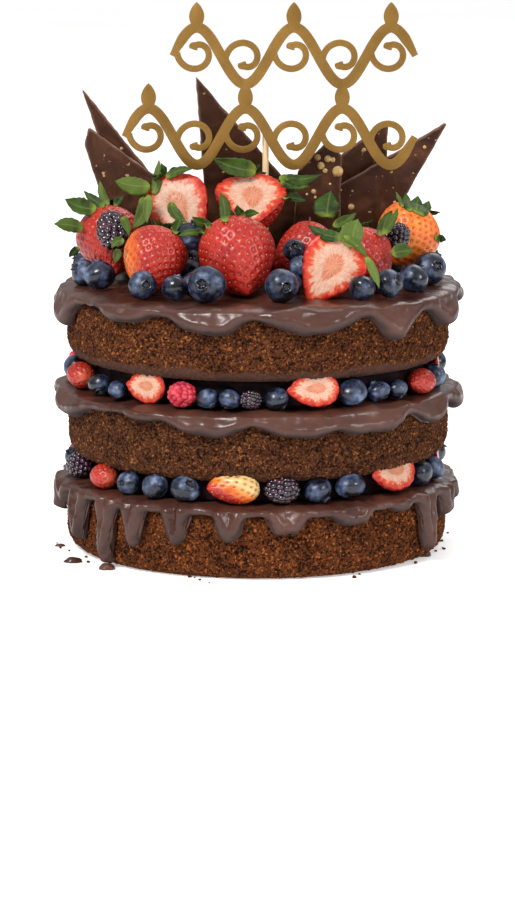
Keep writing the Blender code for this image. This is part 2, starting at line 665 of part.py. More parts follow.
def teardrop(start, heading, length, width):
    """A small leaf of the vine."""
    along = Vector((math.cos(heading), math.sin(heading)))
    across = Vector((-along.y, along.x))
    upper = [start + along * length * s + across * width * w for s, w in CARD_LEAF_SHAPE]
    lower = [start + along * length * s - across * width * w for s, w in CARD_LEAF_SHAPE]
    return lower + upper[::-1]


def vine(row):
    """The outlines of one row: a waving stem with a curl in each hollow and a leaf on each bend."""
    left, level, waves = row

    def at(u):
        return Vector((u, level + VINE_SWING * math.sin(math.pi * (u - left) / VINE_STRETCH)))

    count = VINE_STEPS * waves
    stem = [at(left + VINE_STRETCH * i / VINE_STEPS) for i in range(count + 1)]
    widths = [VINE_WIDTH * (STEM_END if i in (0, count) else 1.0) for i in range(count + 1)]
    outlines = [ribbon(stem, widths)]
    for k in range(waves):
        crest = 1 if k % 2 == 0 else -1
        middle = Vector((left + VINE_STRETCH * (k + 0.5), level + crest * (VINE_SWING - HOLLOW)))
        outlines.append(curl(middle, crest))
        if crest > 0:
            outlines.append(teardrop(at(middle.x), math.pi / 2, CARD_LEAF_LENGTH, CARD_LEAF_WIDTH))
    return outlines


def card(name):
    """The gold card: the strokes' outlines joined in the flat, then given their thickness."""
    outlines = [outline for row in VINE_ROWS for outline in vine(row)]
    points, faces = [], []
    for outline in outlines:
        first = len(points)
        points += outline
        faces.append(list(range(first, len(points))))
    flat = geometry.delaunay_2d_cdt(points, [], faces, 0, MERGE_DISTANCE)
    bm = bmesh.new()
    back = STICK_Y - STICK_RADIUS - CLEARANCE
    spots = [bm.verts.new((p.x + CARD_X, back, p.y + CARD_LOW)) for p in flat[0]]
    for face, sources in zip(flat[2], flat[5]):
        if sources:
            bm.faces.new([spots[i] for i in face])
    bmesh.ops.delete(bm, geom=[v for v in bm.verts if not v.link_faces], context="VERTS")
    bmesh.ops.dissolve_limit(bm, angle_limit=CARD_FLAT_ANGLE, verts=bm.verts, edges=bm.edges)
    pushed = bmesh.ops.extrude_face_region(bm, geom=bm.faces[:])
    moved = [v for v in pushed["geom"] if isinstance(v, bmesh.types.BMVert)]
    bmesh.ops.translate(bm, vec=(0, -CARD_THICKNESS, 0), verts=moved)
    return object_from(name, bm, GOLD)


def stick(name, swell=0.0):
    low = CAKE_TOP - STICK_SUNK - swell
    high = STICK_TOP + swell

    def profile(_azimuth):
        r = STICK_RADIUS + swell
        return [(0, low), (r, low), (r, high), (0, high)]

    made = object_from(name, turned(even_azimuths(10), profile), WOOD)
    made.data.transform(Matrix.Translation((STICK_X, STICK_Y, 0)))
    return smooth(made)


def build_tiers():
    """The sponges, their ganache and the fillings between them."""
    broad, steep = (-1, -0.55, 0, 0.55), (-1, -0.45, 0.45, 1)  # where each lobe gets its points
    for tier, word in enumerate(("bottom", "middle", "top")):
        sponge(f"sponge_{word}", tier)
    ganache("ganache_bottom", 0, BOTTOM_DRIPS, DRIP_ARCH, steep, 3.4, 0.6 * MM)
    ganache("ganache_middle", 1, MIDDLE_LOBES, BROAD_ARCH, broad, 7.0, 1.4 * MM)
    ganache("ganache_top", 2, TOP_LOBES, BROAD_ARCH, broad, 7.0, 1.8 * MM)
    filling("filling_lower", 0, LOWER_RING, BLUE)
    filling("filling_upper", 1, UPPER_RING, RED)


def build_strawberry(name, row, placed):
    x, y, rise, length, width, heading, pitch, face = row
    body = strawberry_body(name, length * MM, width * MM, bool(face))
    rotation = turn_to(-direction(heading, -pitch), direction(*face) if face else None)
    at = settle(body, x, y, rise, rotation, placed)
    return body, at, length * MM, bool(face), len(placed) - 1


def build_top():
    """The topper, the shards and then the berries, each set down on what is there already."""
    placed = []
    for fixed in [stick("topper_stick"), card("topper_card")] + [shard(*row) for row in SHARDS]:
        keep(fixed, placed)
    strawberries = []
    for kind, place_name, *row in TOPPINGS:
        name = f"{kind}_{place_name}"
        if kind == "strawberry":
            strawberries.append(build_strawberry(name, row, placed))
        elif kind == "blueberry":
            x, y, rise, diameter, heading, lift = row
            body = blueberry_body(name, diameter * MM)
            settle(body, x, y, rise, turn_to(direction(heading, lift)), placed)
        else:
            x, y, rise, length, width, heading, lift = row
            body = drupe_body(name, length * MM, width * MM)
            settle(body, x, y, rise, turn_to(direction(heading, lift)), placed)
    rng = random.Random(SEED)
    for body, at, length, cut, own in strawberries:
        if body.name not in WITHOUT_LEAVES:
            add_calyx(body, at, length, cut, placed, own, rng)


def drill_for_the_stick():
    """The hole that the stick makes through the top ganache into the top sponge."""
    for name in ("ganache_top", "sponge_top"):
        boolean(bpy.data.objects[name], "DIFFERENCE", [stick("drill", swell=CLEARANCE)])


def main():
    clear_scene()
    build_tiers()
    build_top()
    drill_for_the_stick()


main()
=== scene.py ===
import json
import math
import random

import bpy
import numpy as np
from mathutils import Euler, Matrix, Vector, geometry, noise
from mathutils.bvhtree import BVHTree

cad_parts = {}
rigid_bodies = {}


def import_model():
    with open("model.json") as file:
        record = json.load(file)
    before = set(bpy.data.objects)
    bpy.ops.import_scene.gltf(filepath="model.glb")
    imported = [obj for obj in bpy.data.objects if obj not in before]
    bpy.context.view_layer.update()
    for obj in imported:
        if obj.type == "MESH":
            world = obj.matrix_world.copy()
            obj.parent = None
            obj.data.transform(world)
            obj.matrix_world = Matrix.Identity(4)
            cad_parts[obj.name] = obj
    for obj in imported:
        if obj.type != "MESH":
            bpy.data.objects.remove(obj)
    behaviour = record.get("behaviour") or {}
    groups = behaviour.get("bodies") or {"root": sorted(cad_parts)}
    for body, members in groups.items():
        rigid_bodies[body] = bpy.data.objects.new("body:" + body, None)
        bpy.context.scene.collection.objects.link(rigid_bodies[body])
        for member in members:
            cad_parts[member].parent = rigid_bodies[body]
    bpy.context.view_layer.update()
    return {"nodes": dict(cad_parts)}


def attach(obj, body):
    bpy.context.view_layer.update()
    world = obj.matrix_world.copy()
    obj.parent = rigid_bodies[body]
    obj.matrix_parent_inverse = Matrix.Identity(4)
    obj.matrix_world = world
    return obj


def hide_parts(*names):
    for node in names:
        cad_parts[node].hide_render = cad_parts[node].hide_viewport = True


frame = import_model()
MM = 0.001
noise.seed_set(1)  # so that the fruit gets the same lumps in every run

# The studio.
# A pale floor in a white room under soft lights. The camera stands where the photograph was taken
# from: well back, with a long lens, a little above the cake and looking slightly down.
CAMERA_PLACE, CAMERA_TILT, CAMERA_LENS = (0, -1800 * MM, 379 * MM), 10.46, 146
bpy.ops.object.camera_add(location=CAMERA_PLACE, rotation=(math.radians(90 - CAMERA_TILT), 0, 0))
bpy.context.scene.camera = bpy.context.object
bpy.context.object.data.lens = CAMERA_LENS


def tint(red, green, blue):
    """The linear colour of a red, green and blue as a screen shows them, each from 0 to 255."""
    parts = [c / 255 for c in (red, green, blue)]
    return (*(c / 12.92 if c <= 0.04045 else ((c + 0.055) / 1.055) ** 2.4 for c in parts), 1.0)


def look(name, roughness, **sockets):
    """A new material. The sockets are the shader's own, with _ for a space."""
    made = bpy.data.materials.new(name)
    made.use_nodes = True
    shader = made.node_tree.nodes["Principled BSDF"]
    shader.inputs["Roughness"].default_value = roughness
    for socket, value in sockets.items():
        shader.inputs[socket.replace("_", " ")].default_value = value
    return made


def node(material, kind, inputs, **settings):
    """A shader node with its inputs, each a value or another node's output, and its own settings."""
    made = material.node_tree.nodes.new("ShaderNode" + kind)
    for setting, value in settings.items():
        setattr(made, setting, value)
    for socket, value in inputs.items():
        if isinstance(value, bpy.types.NodeSocket):
            material.node_tree.links.new(value, made.inputs[socket])
        else:
            made.inputs[socket].default_value = value
    return made


def place_of(material):
    return node(material, "TexCoord", {}).outputs["Object"]


def noise_of(material, vector, scale, detail=3.0, roughness=0.5, twist=0.0):
    """How far a noise is up at each place, from 0 to 1. Its grain is 1 / scale metres."""
    inputs = {"Vector": vector, "Scale": scale, "Detail": detail, "Roughness": roughness, "Distortion": twist}
    return node(material, "TexNoise", inputs).outputs["Fac"]


def ramp(material, factor, stops):
    """Colours or greys along a factor: stops are (place, colour)."""
    made = node(material, "ValToRGB", {"Fac": factor})
    elements = made.color_ramp.elements
    while len(elements) < len(stops):
        elements.new(0.5)
    for element, (at, colour) in zip(elements, stops):
        element.position = at
        element.color = colour if isinstance(colour, tuple) else (colour, colour, colour, 1.0)
    return made.outputs["Color"]


def wear(material, colour=None, roughness=None, bump=None, strength=0.5, distance=0.5 * MM):
    """Links a colour, a roughness and the height for a bump to the material's shader."""
    shader = material.node_tree.nodes["Principled BSDF"]
    links = material.node_tree.links
    if colour:
        links.new(colour, shader.inputs["Base Color"])
    if roughness:
        links.new(roughness, shader.inputs["Roughness"])
    if bump:
        inputs = {"Height": bump, "Strength": strength, "Distance": distance}
        links.new(node(material, "Bump", inputs).outputs["Normal"], shader.inputs["Normal"])


FLOOR_SIZE, FLOOR_LEVEL, FLOOR_GLOW = 24, -0.1 * MM, 0.34
bpy.ops.mesh.primitive_plane_add(size=FLOOR_SIZE, location=(0, 0, FLOOR_LEVEL))
floor = bpy.context.object
floor.name = "floor"
floor_look = look("pale_floor", 0.7, Emission_Color=(1, 1, 1, 1), Emission_Strength=FLOOR_GLOW)
floor_grain = noise_of(floor_look, place_of(floor_look), 3)
wear(floor_look, ramp(floor_look, floor_grain, [(0.3, tint(244, 244, 243)), (0.7, tint(250, 250, 250))]))
floor.data.materials.append(floor_look)

# name, place, size in metres, watts, and what it points at
LIGHTS = (
    ("key", (-0.8, -1.3, 1.4), 0.65, 38, (0, 0, 0.12)),
    ("fill", (1.4, -1.1, 0.8), 0.6, 12, (0, 0, 0.1)),
    ("back", (0.5, 1.2, 1.4), 1.2, 11, (0, 0, 0.15)),
)
for light_name, light_place, light_size, watts, aim in LIGHTS:
    bpy.ops.object.light_add(type="AREA", location=light_place)
    light = bpy.context.object
    light.name = light_name
    light.data.shape = "DISK"
    light.data.size = light_size
    light.data.energy = watts
    light.rotation_euler = (Vector(aim) - Vector(light_place)).to_track_quat("-Z", "Y").to_euler()
ROOM_BRIGHTNESS = 0.8
ROOM_SHADES = ((0.0, (0.30, 0.30, 0.31, 1.0)), (0.75, (1.0, 1.0, 1.0, 1.0)))  # from level to overhead
world = bpy.data.worlds.new("white_room")
bpy.context.scene.world = world
bpy.context.scene.view_settings.view_transform = "Standard"
world.use_nodes = True
world.node_tree.nodes["Background"].inputs["Strength"].default_value = ROOM_BRIGHTNESS
sky = world.node_tree.nodes.new("ShaderNodeTexCoord")
height = world.node_tree.nodes.new("ShaderNodeSeparateXYZ")
fade = world.node_tree.nodes.new("ShaderNodeValToRGB")
for element, (at, shade) in zip(fade.color_ramp.elements, ROOM_SHADES):
    element.position = at
    element.color = shade
world.node_tree.links.new(sky.outputs["Generated"], height.inputs[0])
world.node_tree.links.new(height.outputs["Z"], fade.inputs["Fac"])
world.node_tree.links.new(fade.outputs["Color"], world.node_tree.nodes["Background"].inputs["Color"])

# The sponges.
# Three rounds of dark chocolate cake, baked in a tin of one size and left untrimmed, so that the
# lower edge is rounded. Their bare sides show an open crumb, and each round sits on the ganache
# and the berries of the one below.
SPONGE_RADIUS = 95 * MM
WOBBLES = ((3, 1.7, 0.625), (7, 2.9, 0.375))  # waves round the rim, shift from tier to tier, share
UNEVENNESS = 0.7 * MM
SPONGE_LEVELS = ((0.0, 32.5 * MM), (47.2 * MM, 78.2 * MM), (95.7 * MM, 127.7 * MM))
EDGE_IN, EDGE_UP = 8.5 * MM, 10.5 * MM
SHOULDER_IN, SHOULDER_DOWN, SHOULDER_BEND = 3.0 * MM, 2.6 * MM, 0.3
SPONGE_COLUMNS, EDGE_STEPS, SIDE_ROWS = 960, 16, 34
UNDER_SHARES = (0, 0.3, 0.6, 0.8, 0.92)  # of the way out, where the underside has rings of points
CRUMB_RELIEF = (  # texture, its grain, height and depth: broad lumps, torn holes, fine crumb
    ("BLENDER_ORIGINAL", 7 * MM, 0.9 * MM, 2),
    ("VORONOI_F2_F1", 2.2 * MM, 1.5 * MM, 1),
    ("BLENDER_ORIGINAL", 1.1 * MM, 1.4 * MM, 1),
)
# The crumb's colour follows this relief and is darker where the surface is pushed in, as painted shade.
RELIEF_RANGE = 1.6 * MM  # of the height that the colour follows
DOUBLED = 1e-6  # points nearer than this are one
TIERS = ("bottom", "middle", "top")


def way(azimuth, lift=0.0):
    """The unit vector at an azimuth from the front, growing towards +X, and a lift above level."""
    a, e = math.radians(azimuth), math.radians(lift)
    return Vector((math.cos(e) * math.sin(a), -math.cos(e) * math.cos(a), math.sin(e)))


def sponge_radius(azimuth, tier):
    a = math.radians(azimuth)
    return SPONGE_RADIUS + UNEVENNESS * sum(s * math.sin(n * a + shift * tier) for n, shift, s in WOBBLES)


def alone(piece):
    """Leaves only this piece selected, and active."""
    bpy.ops.object.select_all(action="DESELECT")
    piece.select_set(True)
    bpy.context.view_layer.objects.active = piece


def close_up(piece):
    """Merges a piece's doubled points and turns its faces outwards."""
    alone(piece)
    bpy.ops.object.mode_set(mode="EDIT")
    bpy.ops.mesh.select_all(action="SELECT")
    bpy.ops.mesh.remove_doubles(threshold=DOUBLED)
    bpy.ops.mesh.normals_make_consistent(inside=False)
    bpy.ops.object.mode_set(mode="OBJECT")


def wrapped(name, points):
    """A grid wrapped round into a closed skin. points[i][j] is column i, round Z, at row j."""
    points = np.asarray(points, np.float32)
    columns, rows = points.shape[0], points.shape[1]
    bpy.ops.object.select_all(action="DESELECT")
    bpy.ops.mesh.primitive_grid_add(x_subdivisions=columns, y_subdivisions=rows - 1, size=1)
    piece = bpy.context.object
    piece.name = name
    flat = np.empty(len(piece.data.vertices) * 3, np.float32)
    piece.data.vertices.foreach_get("co", flat)
    flat = flat.reshape(-1, 3)
    column = np.rint((flat[:, 0] + 0.5) * columns).astype(int) % columns
    row = np.rint((flat[:, 1] + 0.5) * (rows - 1)).astype(int)
    piece.data.vertices.foreach_set("co", points[column, row].ravel())
    close_up(piece)
    bpy.ops.object.shade_smooth()
    return piece


def places(piece):
    flat = np.empty(len(piece.data.vertices) * 3, np.float32)
    piece.data.vertices.foreach_get("co", flat)
    return flat.reshape(-1, 3)


def move_to(piece, coordinates):
    piece.data.vertices.foreach_set("co", np.asarray(coordinates, np.float32).ravel())
    piece.data.update()


def mark(piece, name, values):
    """Stores a value for each point, for the material to read."""
    layer = piece.data.attributes.new(name, "FLOAT", "POINT")
    layer.data.foreach_set("value", np.asarray(values, np.float32))


def roughen(piece, basis, grain, height, group="", depth=2):
    """Pushes the piece's points in and out by a cloud texture with a grain in metres."""
    texture = bpy.data.textures.new("relief", "CLOUDS")
    texture.noise_basis = basis
    texture.noise_scale = grain
    texture.noise_depth = depth
    alone(piece)
    step = piece.modifiers.new("relief", "DISPLACE")
    step.texture = texture
    step.texture_coords = "LOCAL"
    step.strength = height
    step.vertex_group = group
    bpy.ops.object.modifier_apply(modifier=step.name)


def attribute(material, name):
    return node(material, "Attribute", {}, attribute_name=name).outputs["Fac"]


def mixed(material, factor, first, second):
    """The first colour, with a share of the second one over it."""
    made = node(material, "Mix", {}, data_type="RGBA")
    for socket, value in ((made.inputs[0], factor), (made.inputs[6], first), (made.inputs[7], second)):
        if isinstance(value, bpy.types.NodeSocket):
            material.node_tree.links.new(value, socket)
        else:
            socket.default_value = value
    return made.outputs[2]


def math_of(material, operation, first, second=0.0):
    return node(material, "Math", {0: first, 1: second}, operation=operation).outputs[0]


def blend_of(material, *parts):
    """The sum of several factors, each times its own share."""
    total = 0.0
    for factor, share in parts:
        total = math_of(material, "ADD", math_of(material, "MULTIPLY", factor, share), total)
    return total


def sponge(tier):
    """A round of cake: flat underneath, rounded at its foot, upright, and torn open all round its side."""
    low, high = SPONGE_LEVELS[tier]
    columns = []
    for i in range(SPONGE_COLUMNS):
        azimuth = 360 * i / SPONGE_COLUMNS
        r = sponge_radius(azimuth, tier)
        under = [(share * (r - EDGE_IN), low) for share in UNDER_SHARES]
        turn = [math.pi / 2 * j / EDGE_STEPS for j in range(EDGE_STEPS + 1)]
        edge = [(r - EDGE_IN * (1 - math.sin(t)), low + EDGE_UP * (1 - math.cos(t))) for t in turn]
        rise = high - SHOULDER_DOWN - low - EDGE_UP
        side = [(r, low + EDGE_UP + rise * j / SIDE_ROWS) for j in range(1, SIDE_ROWS + 1)]
        bend = (r - SHOULDER_BEND * SHOULDER_IN, high - SHOULDER_BEND * SHOULDER_DOWN)
        profile = under + edge + side + [bend, (r - SHOULDER_IN, high), (0, high)]
        out = way(azimuth)
        columns.append([(out.x * x, out.y * x, z) for x, z in profile])
    piece = wrapped(f"crumb_{TIERS[tier]}", columns)
    before = places(piece)
    radius = np.hypot(before[:, 0], before[:, 1])
    side = piece.vertex_groups.new(name="side")
    side.add(np.flatnonzero(radius > SPONGE_RADIUS - 0.9 * EDGE_IN).tolist(), 1.0, "REPLACE")
    for basis, grain, height, depth in CRUMB_RELIEF:
        roughen(piece, basis, grain, height, "side", depth)
    after = places(piece)
    pushed = np.hypot(after[:, 0], after[:, 1]) - radius
    after[:, 2] = np.maximum(after[:, 2], low)
    move_to(piece, after)
    # the colour reads this, to paint shade into the pits
    mark(piece, "pushed", np.clip(0.5 + pushed / RELIEF_RANGE, 0, 1))
    return piece


# each tier's brightest and its usual crumb, and how much of a crust its foot has
CRUMB_COLOURS = (
    (tint(184, 106, 46), tint(90, 47, 22), 0.0),
    (tint(164, 102, 54), tint(78, 45, 26), 0.15),
    (tint(172, 104, 50), tint(82, 45, 24), 0.9),
)
for tier, (bright, usual, crust) in enumerate(CRUMB_COLOURS):
    crumb = sponge(tier)
    crumb_look = look(f"chocolate_crumb_{TIERS[tier]}", 0.9, Specular_IOR_Level=0.08)
    here = place_of(crumb_look)
    grains = noise_of(crumb_look, here, 900, 4, 0.75, 0.5)
    holes = noise_of(crumb_look, here, 560, 1, 0.5, 1.2)
    patches = noise_of(crumb_look, here, 55, 3)
    # Painted shade: the colour follows the relief and the holes, darker where the crumb is pushed in and
    # near-black painted shade in the holes and pits.
    relief = attribute(crumb_look, "pushed")
    height = blend_of(crumb_look, (grains, 0.55), (holes, 0.45), (relief, 0.2))
    shade = [(0.47, tint(20, 8, 4)), (0.55, usual), (0.61, usual), (0.72, bright)]
    colour = ramp(crumb_look, height, shade)
    colour = mixed(crumb_look, math_of(crumb_look, "MULTIPLY", patches, 0.25), colour, tint(52, 25, 13))
    low = SPONGE_LEVELS[tier][0]
    level = node(crumb_look, "SeparateXYZ", {0: here}).outputs["Z"]
    ragged = blend_of(crumb_look, (level, 1.0), (grains, 6 * MM), (patches, 8 * MM))
    crust_ends = {1: low + 13.5 * MM, 2: low + 11 * MM, 3: 0.0, 4: crust}
    foot = node(crumb_look, "MapRange", {0: ragged, **crust_ends}).outputs[0]
    colour = mixed(crumb_look, foot, colour, tint(78, 54, 46))
    wear(crumb_look, colour, bump=height, strength=1.0, distance=1.1 * MM)
    crumb.data.materials.append(crumb_look)
    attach(crumb, "root")
    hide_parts(f"sponge_{TIERS[tier]}")

# The ganache.
# Chocolate and cream poured warm over each sponge, so that it covers the top and has run over the
# edge: in broad, heavy lobes on the two upper tiers, and in long thin drips on the lowest. It set
# with a soft gloss and a thick, rounded hem.
GANACHE_GAP, GANACHE_THICKNESS = 0.5 * MM, 3.6 * MM
SKIRT_THICKNESS, ARCH_THINNESS = 4.4 * MM, 0.68
DRIP_FULLNESS, LOBE_FULLNESS = 1.75, 1.45
GANACHE_COLUMNS, SKIRT_ROWS, RIM_STEPS, TOP_STEPS = 1080, 36, 10, 14
HEM_COLUMNS = 24  # how many columns to each side may hold a column's nearest place on the hem
LEAST_SKIRT = 1.2 * MM
LIP, LIP_SHARE, LEAST_LIP = 2.2 * MM, 0.3, 0.6 * MM  # the hem's rounding: most, share of the drop, least
RIM_DOWN, RIM_IN = 2.6 * MM, 6 * MM  # the rounding over the tier's edge
UNEVEN_HEM = 0.7 * MM
HEM_WAVES = ((5, 1, 1.0), (13, 2, 0.7), (29, 0, 0.5))  # waves round the cake, shift from tier to tier, share
BEAD = 0.8  # share of the skirt's thickness over which its hem is rounded
THIN_UP, SWELL, SWELL_AT, SWELL_REACH = 0.34, 0.68, 0.75, 0.85  # how the skirt thickens towards its hem
# azimuth, half width in degrees, and drop below the tier's top in mm
TOP_LOBES = (
    (-76, 13, 15), (-41, 13, 9.5), (-14, 14, 10.5), (16, 17, 10.8), (43, 11, 15), (68, 12, 14),
    (98, 14, 11), (126, 12, 13), (153, 14, 9), (182, 15, 12), (211, 12, 14), (238, 14, 10), (263, 11, 13),
)
MIDDLE_LOBES = (
    (-71, 15, 11), (-36, 12, 7), (-14, 15, 10.5), (14, 16, 11), (36, 15, 11.5), (61, 12, 13),
    (88, 13, 10), (117, 15, 12), (147, 13, 9), (175, 14, 13), (205, 14, 10), (233, 12, 12), (260, 13, 9),
)
BOTTOM_DRIPS = (
    (-77, 6, 12), (-64, 6, 26), (-49, 4.5, 33), (-38, 4.5, 23), (-24, 5, 20), (-8, 5.5, 17.5),
    (8, 7, 13), (28, 8, 10.5), (45, 5, 8), (58, 5, 29), (71, 5, 17), (84, 6, 12), (100, 5, 24),
    (118, 7, 14), (135, 5, 28), (152, 7, 16), (169, 5.5, 22), (187, 5, 27), (204, 7, 13),
    (221, 5.5, 20), (238, 5, 30), (254, 6, 15), (269, 5.5, 21),
)
# lobes, drop of the arches between them, how far a lobe's end swells out, the hem's smoothing in
# degrees, how much longer the smoothed lobes are made, and the skirt's folds: grain and height
LONG_FOLDS, FOLDS, FINE_FOLDS = (26 * MM, 4.5 * MM), (12 * MM, 2.4 * MM), (4.5 * MM, 0.5 * MM)
SKIRTS = (
    (BOTTOM_DRIPS, 4.2 * MM, 1.95 * MM, 1.0, 1.05, (FOLDS, (4.5 * MM, 1.0 * MM))),
    (MIDDLE_LOBES, 3.4 * MM, 2.25 * MM, 3.4, 1.28, (LONG_FOLDS, FOLDS, FINE_FOLDS)),
    (TOP_LOBES, 3.4 * MM, 2.85 * MM, 3.4, 1.28, (LONG_FOLDS, FOLDS, FINE_FOLDS)),
)


def skirt_at(azimuth, lobes, arch):
    """(drop, share of a full lobe) of the ganache's hem at this azimuth."""
    drop, share = arch, 0.0
    fullness = DRIP_FULLNESS if lobes is BOTTOM_DRIPS else LOBE_FULLNESS
    for centre, half_width, depth in lobes:
        off = abs((azimuth - centre + 180) % 360 - 180) / half_width
        if off < 1:
            t = min(1, fullness * (1 - off))
            bump = t * t * (3 - 2 * t)
            if arch + (depth * MM - arch) * bump > drop:
                drop, share = arch + (depth * MM - arch) * bump, bump
    return drop, share


def blurred(values, degrees):
    """Values round the cake, each blended with its neighbours within so many degrees."""
    step = 360 / GANACHE_COLUMNS
    reach = round(3 * degrees / step)
    shares = {k: math.exp(-0.5 * (k * step / degrees) ** 2) for k in range(-reach, reach + 1)}
    return sum(share * np.roll(values, k) for k, share in shares.items()) / sum(shares.values())


def skirt_of(tier):
    """The ganache over a tier's edge: how far out and how high it is, by column and row, and its foot."""
    lobes, arch, bulge, blur, stretch, _ = SKIRTS[tier]
    under = SPONGE_LEVELS[tier][1] + GANACHE_GAP
    top = under + GANACHE_THICKNESS
    azimuths = [360 * i / GANACHE_COLUMNS for i in range(GANACHE_COLUMNS)]
    hems = np.array([skirt_at(a, lobes, arch) for a in azimuths])
    round_it = np.radians(azimuths)
    uneven = sum(share * np.sin(waves * round_it + shift * tier) for waves, shift, share in HEM_WAVES)
    drop = arch + (blurred(hems[:, 0], blur) - arch) * stretch + UNEVEN_HEM * (1 + uneven)
    hem = np.maximum(top - drop, LEAST_SKIRT)
    share = blurred(hems[:, 1], blur)
    thick = SKIRT_THICKNESS * (ARCH_THINNESS + (1 - ARCH_THINNESS) * share) + bulge * share
    lip = np.minimum(LIP, LIP_SHARE * (top - hem) + LEAST_LIP)
    contact = np.minimum(hem + 0.6 * lip, under - LEAST_SKIRT)
    wall = np.array([sponge_radius(a, tier) for a in azimuths]) + GANACHE_GAP
    along = (np.arange(SKIRT_ROWS + 1) / SKIRT_ROWS) ** 1.5
    height = contact[:, None] + along[None, :] * (top - RIM_DOWN - contact)[:, None]
    # how far each place is from the line where the ganache ends on the sponge
    step = 2 * math.pi * SPONGE_RADIUS / GANACHE_COLUMNS
    away = np.full(height.shape, 1.0)
    for shift in range(-HEM_COLUMNS, HEM_COLUMNS + 1):
        away = np.minimum(away, np.hypot(shift * step, height - np.roll(contact, shift)[:, None]))
    bead = BEAD * thick[:, None]
    rounding = np.clip(away / bead, 0, 1)
    swell = THIN_UP + SWELL * np.exp(-(((away - SWELL_AT * bead) / (SWELL_REACH * bead)) ** 2))
    reach = wall[:, None] + thick[:, None] * swell * np.sqrt(1 - (1 - rounding) ** 2)
    return reach, height - 0.6 * lip[:, None] * np.sin(math.pi * rounding), wall, contact


def normals_of(piece):
    flat = np.empty(len(piece.data.vertices) * 3, np.float32)
    piece.data.vertices.foreach_get("normal", flat)
    return flat.reshape(-1, 3)


def ganache(tier):
    """The coat of a tier: a flat top, the rounding over the edge, the skirt, and its inner side."""
    under = SPONGE_LEVELS[tier][1] + GANACHE_GAP
    top = under + GANACHE_THICKNESS
    columns = []
    for i, (reach, height, wall, contact) in enumerate(zip(*skirt_of(tier))):
        out = way(360 * i / GANACHE_COLUMNS)
        profile = [(0, under), (0.5 * wall, under), (wall - 1 * MM, under), (wall, under)]
        profile.append((wall, 0.5 * (under + contact)))
        profile += list(zip(reach, height))
        wide, inner = reach[-1] - wall + RIM_IN, wall - RIM_IN
        for j in range(1, RIM_STEPS + 1):
            t = math.pi / 2 * j / RIM_STEPS
            profile.append((inner + wide * math.cos(t), top - RIM_DOWN + RIM_DOWN * math.sin(t)))
        profile += [(inner * (1 - j / TOP_STEPS) ** 1.1, top) for j in range(1, TOP_STEPS)]
        profile.append((0, top))
        columns.append([(out.x * x, out.y * x, level) for x, level in profile])
    piece = wrapped(f"poured_{TIERS[tier]}", columns)
    spots = places(piece)
    loose = piece.vertex_groups.new(name="loose")
    hidden = (np.hypot(spots[:, 0], spots[:, 1]) < SPONGE_RADIUS - 1.5 * MM) & (spots[:, 2] < under + MM)
    loose.add(np.flatnonzero(~hidden).tolist(), 1.0, "REPLACE")
    for grain, height in SKIRTS[tier][-1]:
        roughen(piece, "BLENDER_ORIGINAL", grain, height, "loose", depth=1)
    # how much each point faces down, which the material turns into painted shade under the skirt
    mark(piece, "under", np.clip(0.15 - normals_of(piece)[:, 2], 0, 1))
    return piece


ganache_look = look("ganache", 0.32, Specular_IOR_Level=0.42)
here = place_of(ganache_look)
cloudy = noise_of(ganache_look, here, 35, 3)
streaky = node(ganache_look, "Mapping", {"Vector": here, "Scale": (1.0, 1.0, 0.45)}).outputs[0]
dimples = noise_of(ganache_look, streaky, 140, 2)
fine = noise_of(ganache_look, here, 420, 4)
colour = ramp(ganache_look, cloudy, [(0.3, tint(58, 30, 22)), (0.7, tint(82, 49, 38))])
# Painted shade: faces that look down are darkened towards a near-black brown, and also made rough so that
# they reflect less.
under = attribute(ganache_look, "under")
colour = mixed(ganache_look, under, colour, tint(34, 16, 12))
satin = ramp(ganache_look, cloudy, [(0.3, 0.26), (0.75, 0.38)])
satin = mixed(ganache_look, under, satin, (0.9, 0.9, 0.9, 1.0))
wear(ganache_look, colour, satin, blend_of(ganache_look, (dimples, 0.8), (fine, 0.2)), 0.13, 0.9 * MM)
for tier, word in enumerate(TIERS):
    poured = ganache(tier)
    poured.data.materials.append(ganache_look)
    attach(poured, "root")
    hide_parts(f"ganache_{word}")

# The strawberries.
# Whole ripe fruit with the green calyx left on, and three cut in half to show the pale flesh. They
# lie wedged between each other on the soft ganache, with their tips turned outwards and down.
MODEL_LENGTH, MODEL_WIDTH = 38 * MM, 33 * MM
FULLNESS = 0.75  # moves the widest place towards the calyx and rounds the shoulders
GOLDEN_TURN = math.pi * (3 - math.sqrt(5))
FIRST_SEED, SEEDED = 0.04, 0.95  # shares of the skin above the first seed, and that the seeds cover
SEED_SIZE = (0.36 * MM, 0.6 * MM, 0.32 * MM)  # half width, half length and half height of one
SEED_SUNK, DENT_DEPTH, DENT_RADIUS = 0.48 * MM, 0.75 * MM, 1.05 * MM
CUT_PLANE = -0.04 * MODEL_WIDTH  # where a halved one is cut, past its axis
CUT_PRECISION = 1e-7
FLESH_RINGS, NARROWING = 16, 1.35  # rings of faces on the cut, and how they close in on the core's line
CORE_UP = 0.06 * MODEL_LENGTH
LIP_RISE, LIP_BREADTH = 0.5 * MM, 0.2  # the flesh swells behind the skin, over this share of the way in
GROOVE_DEPTH, GROOVE_AT, GROOVE_BREADTH = 0.35 * MM, 0.64, 0.04  # round the core


def fruit_radius(s):
    """Half the model strawberry's width at s, from 0 at the calyx to 1 at the tip."""
    return 0.5 * MODEL_WIDTH * math.sin(math.pi * min(max(s, 0), 1) ** FULLNESS) ** FULLNESS


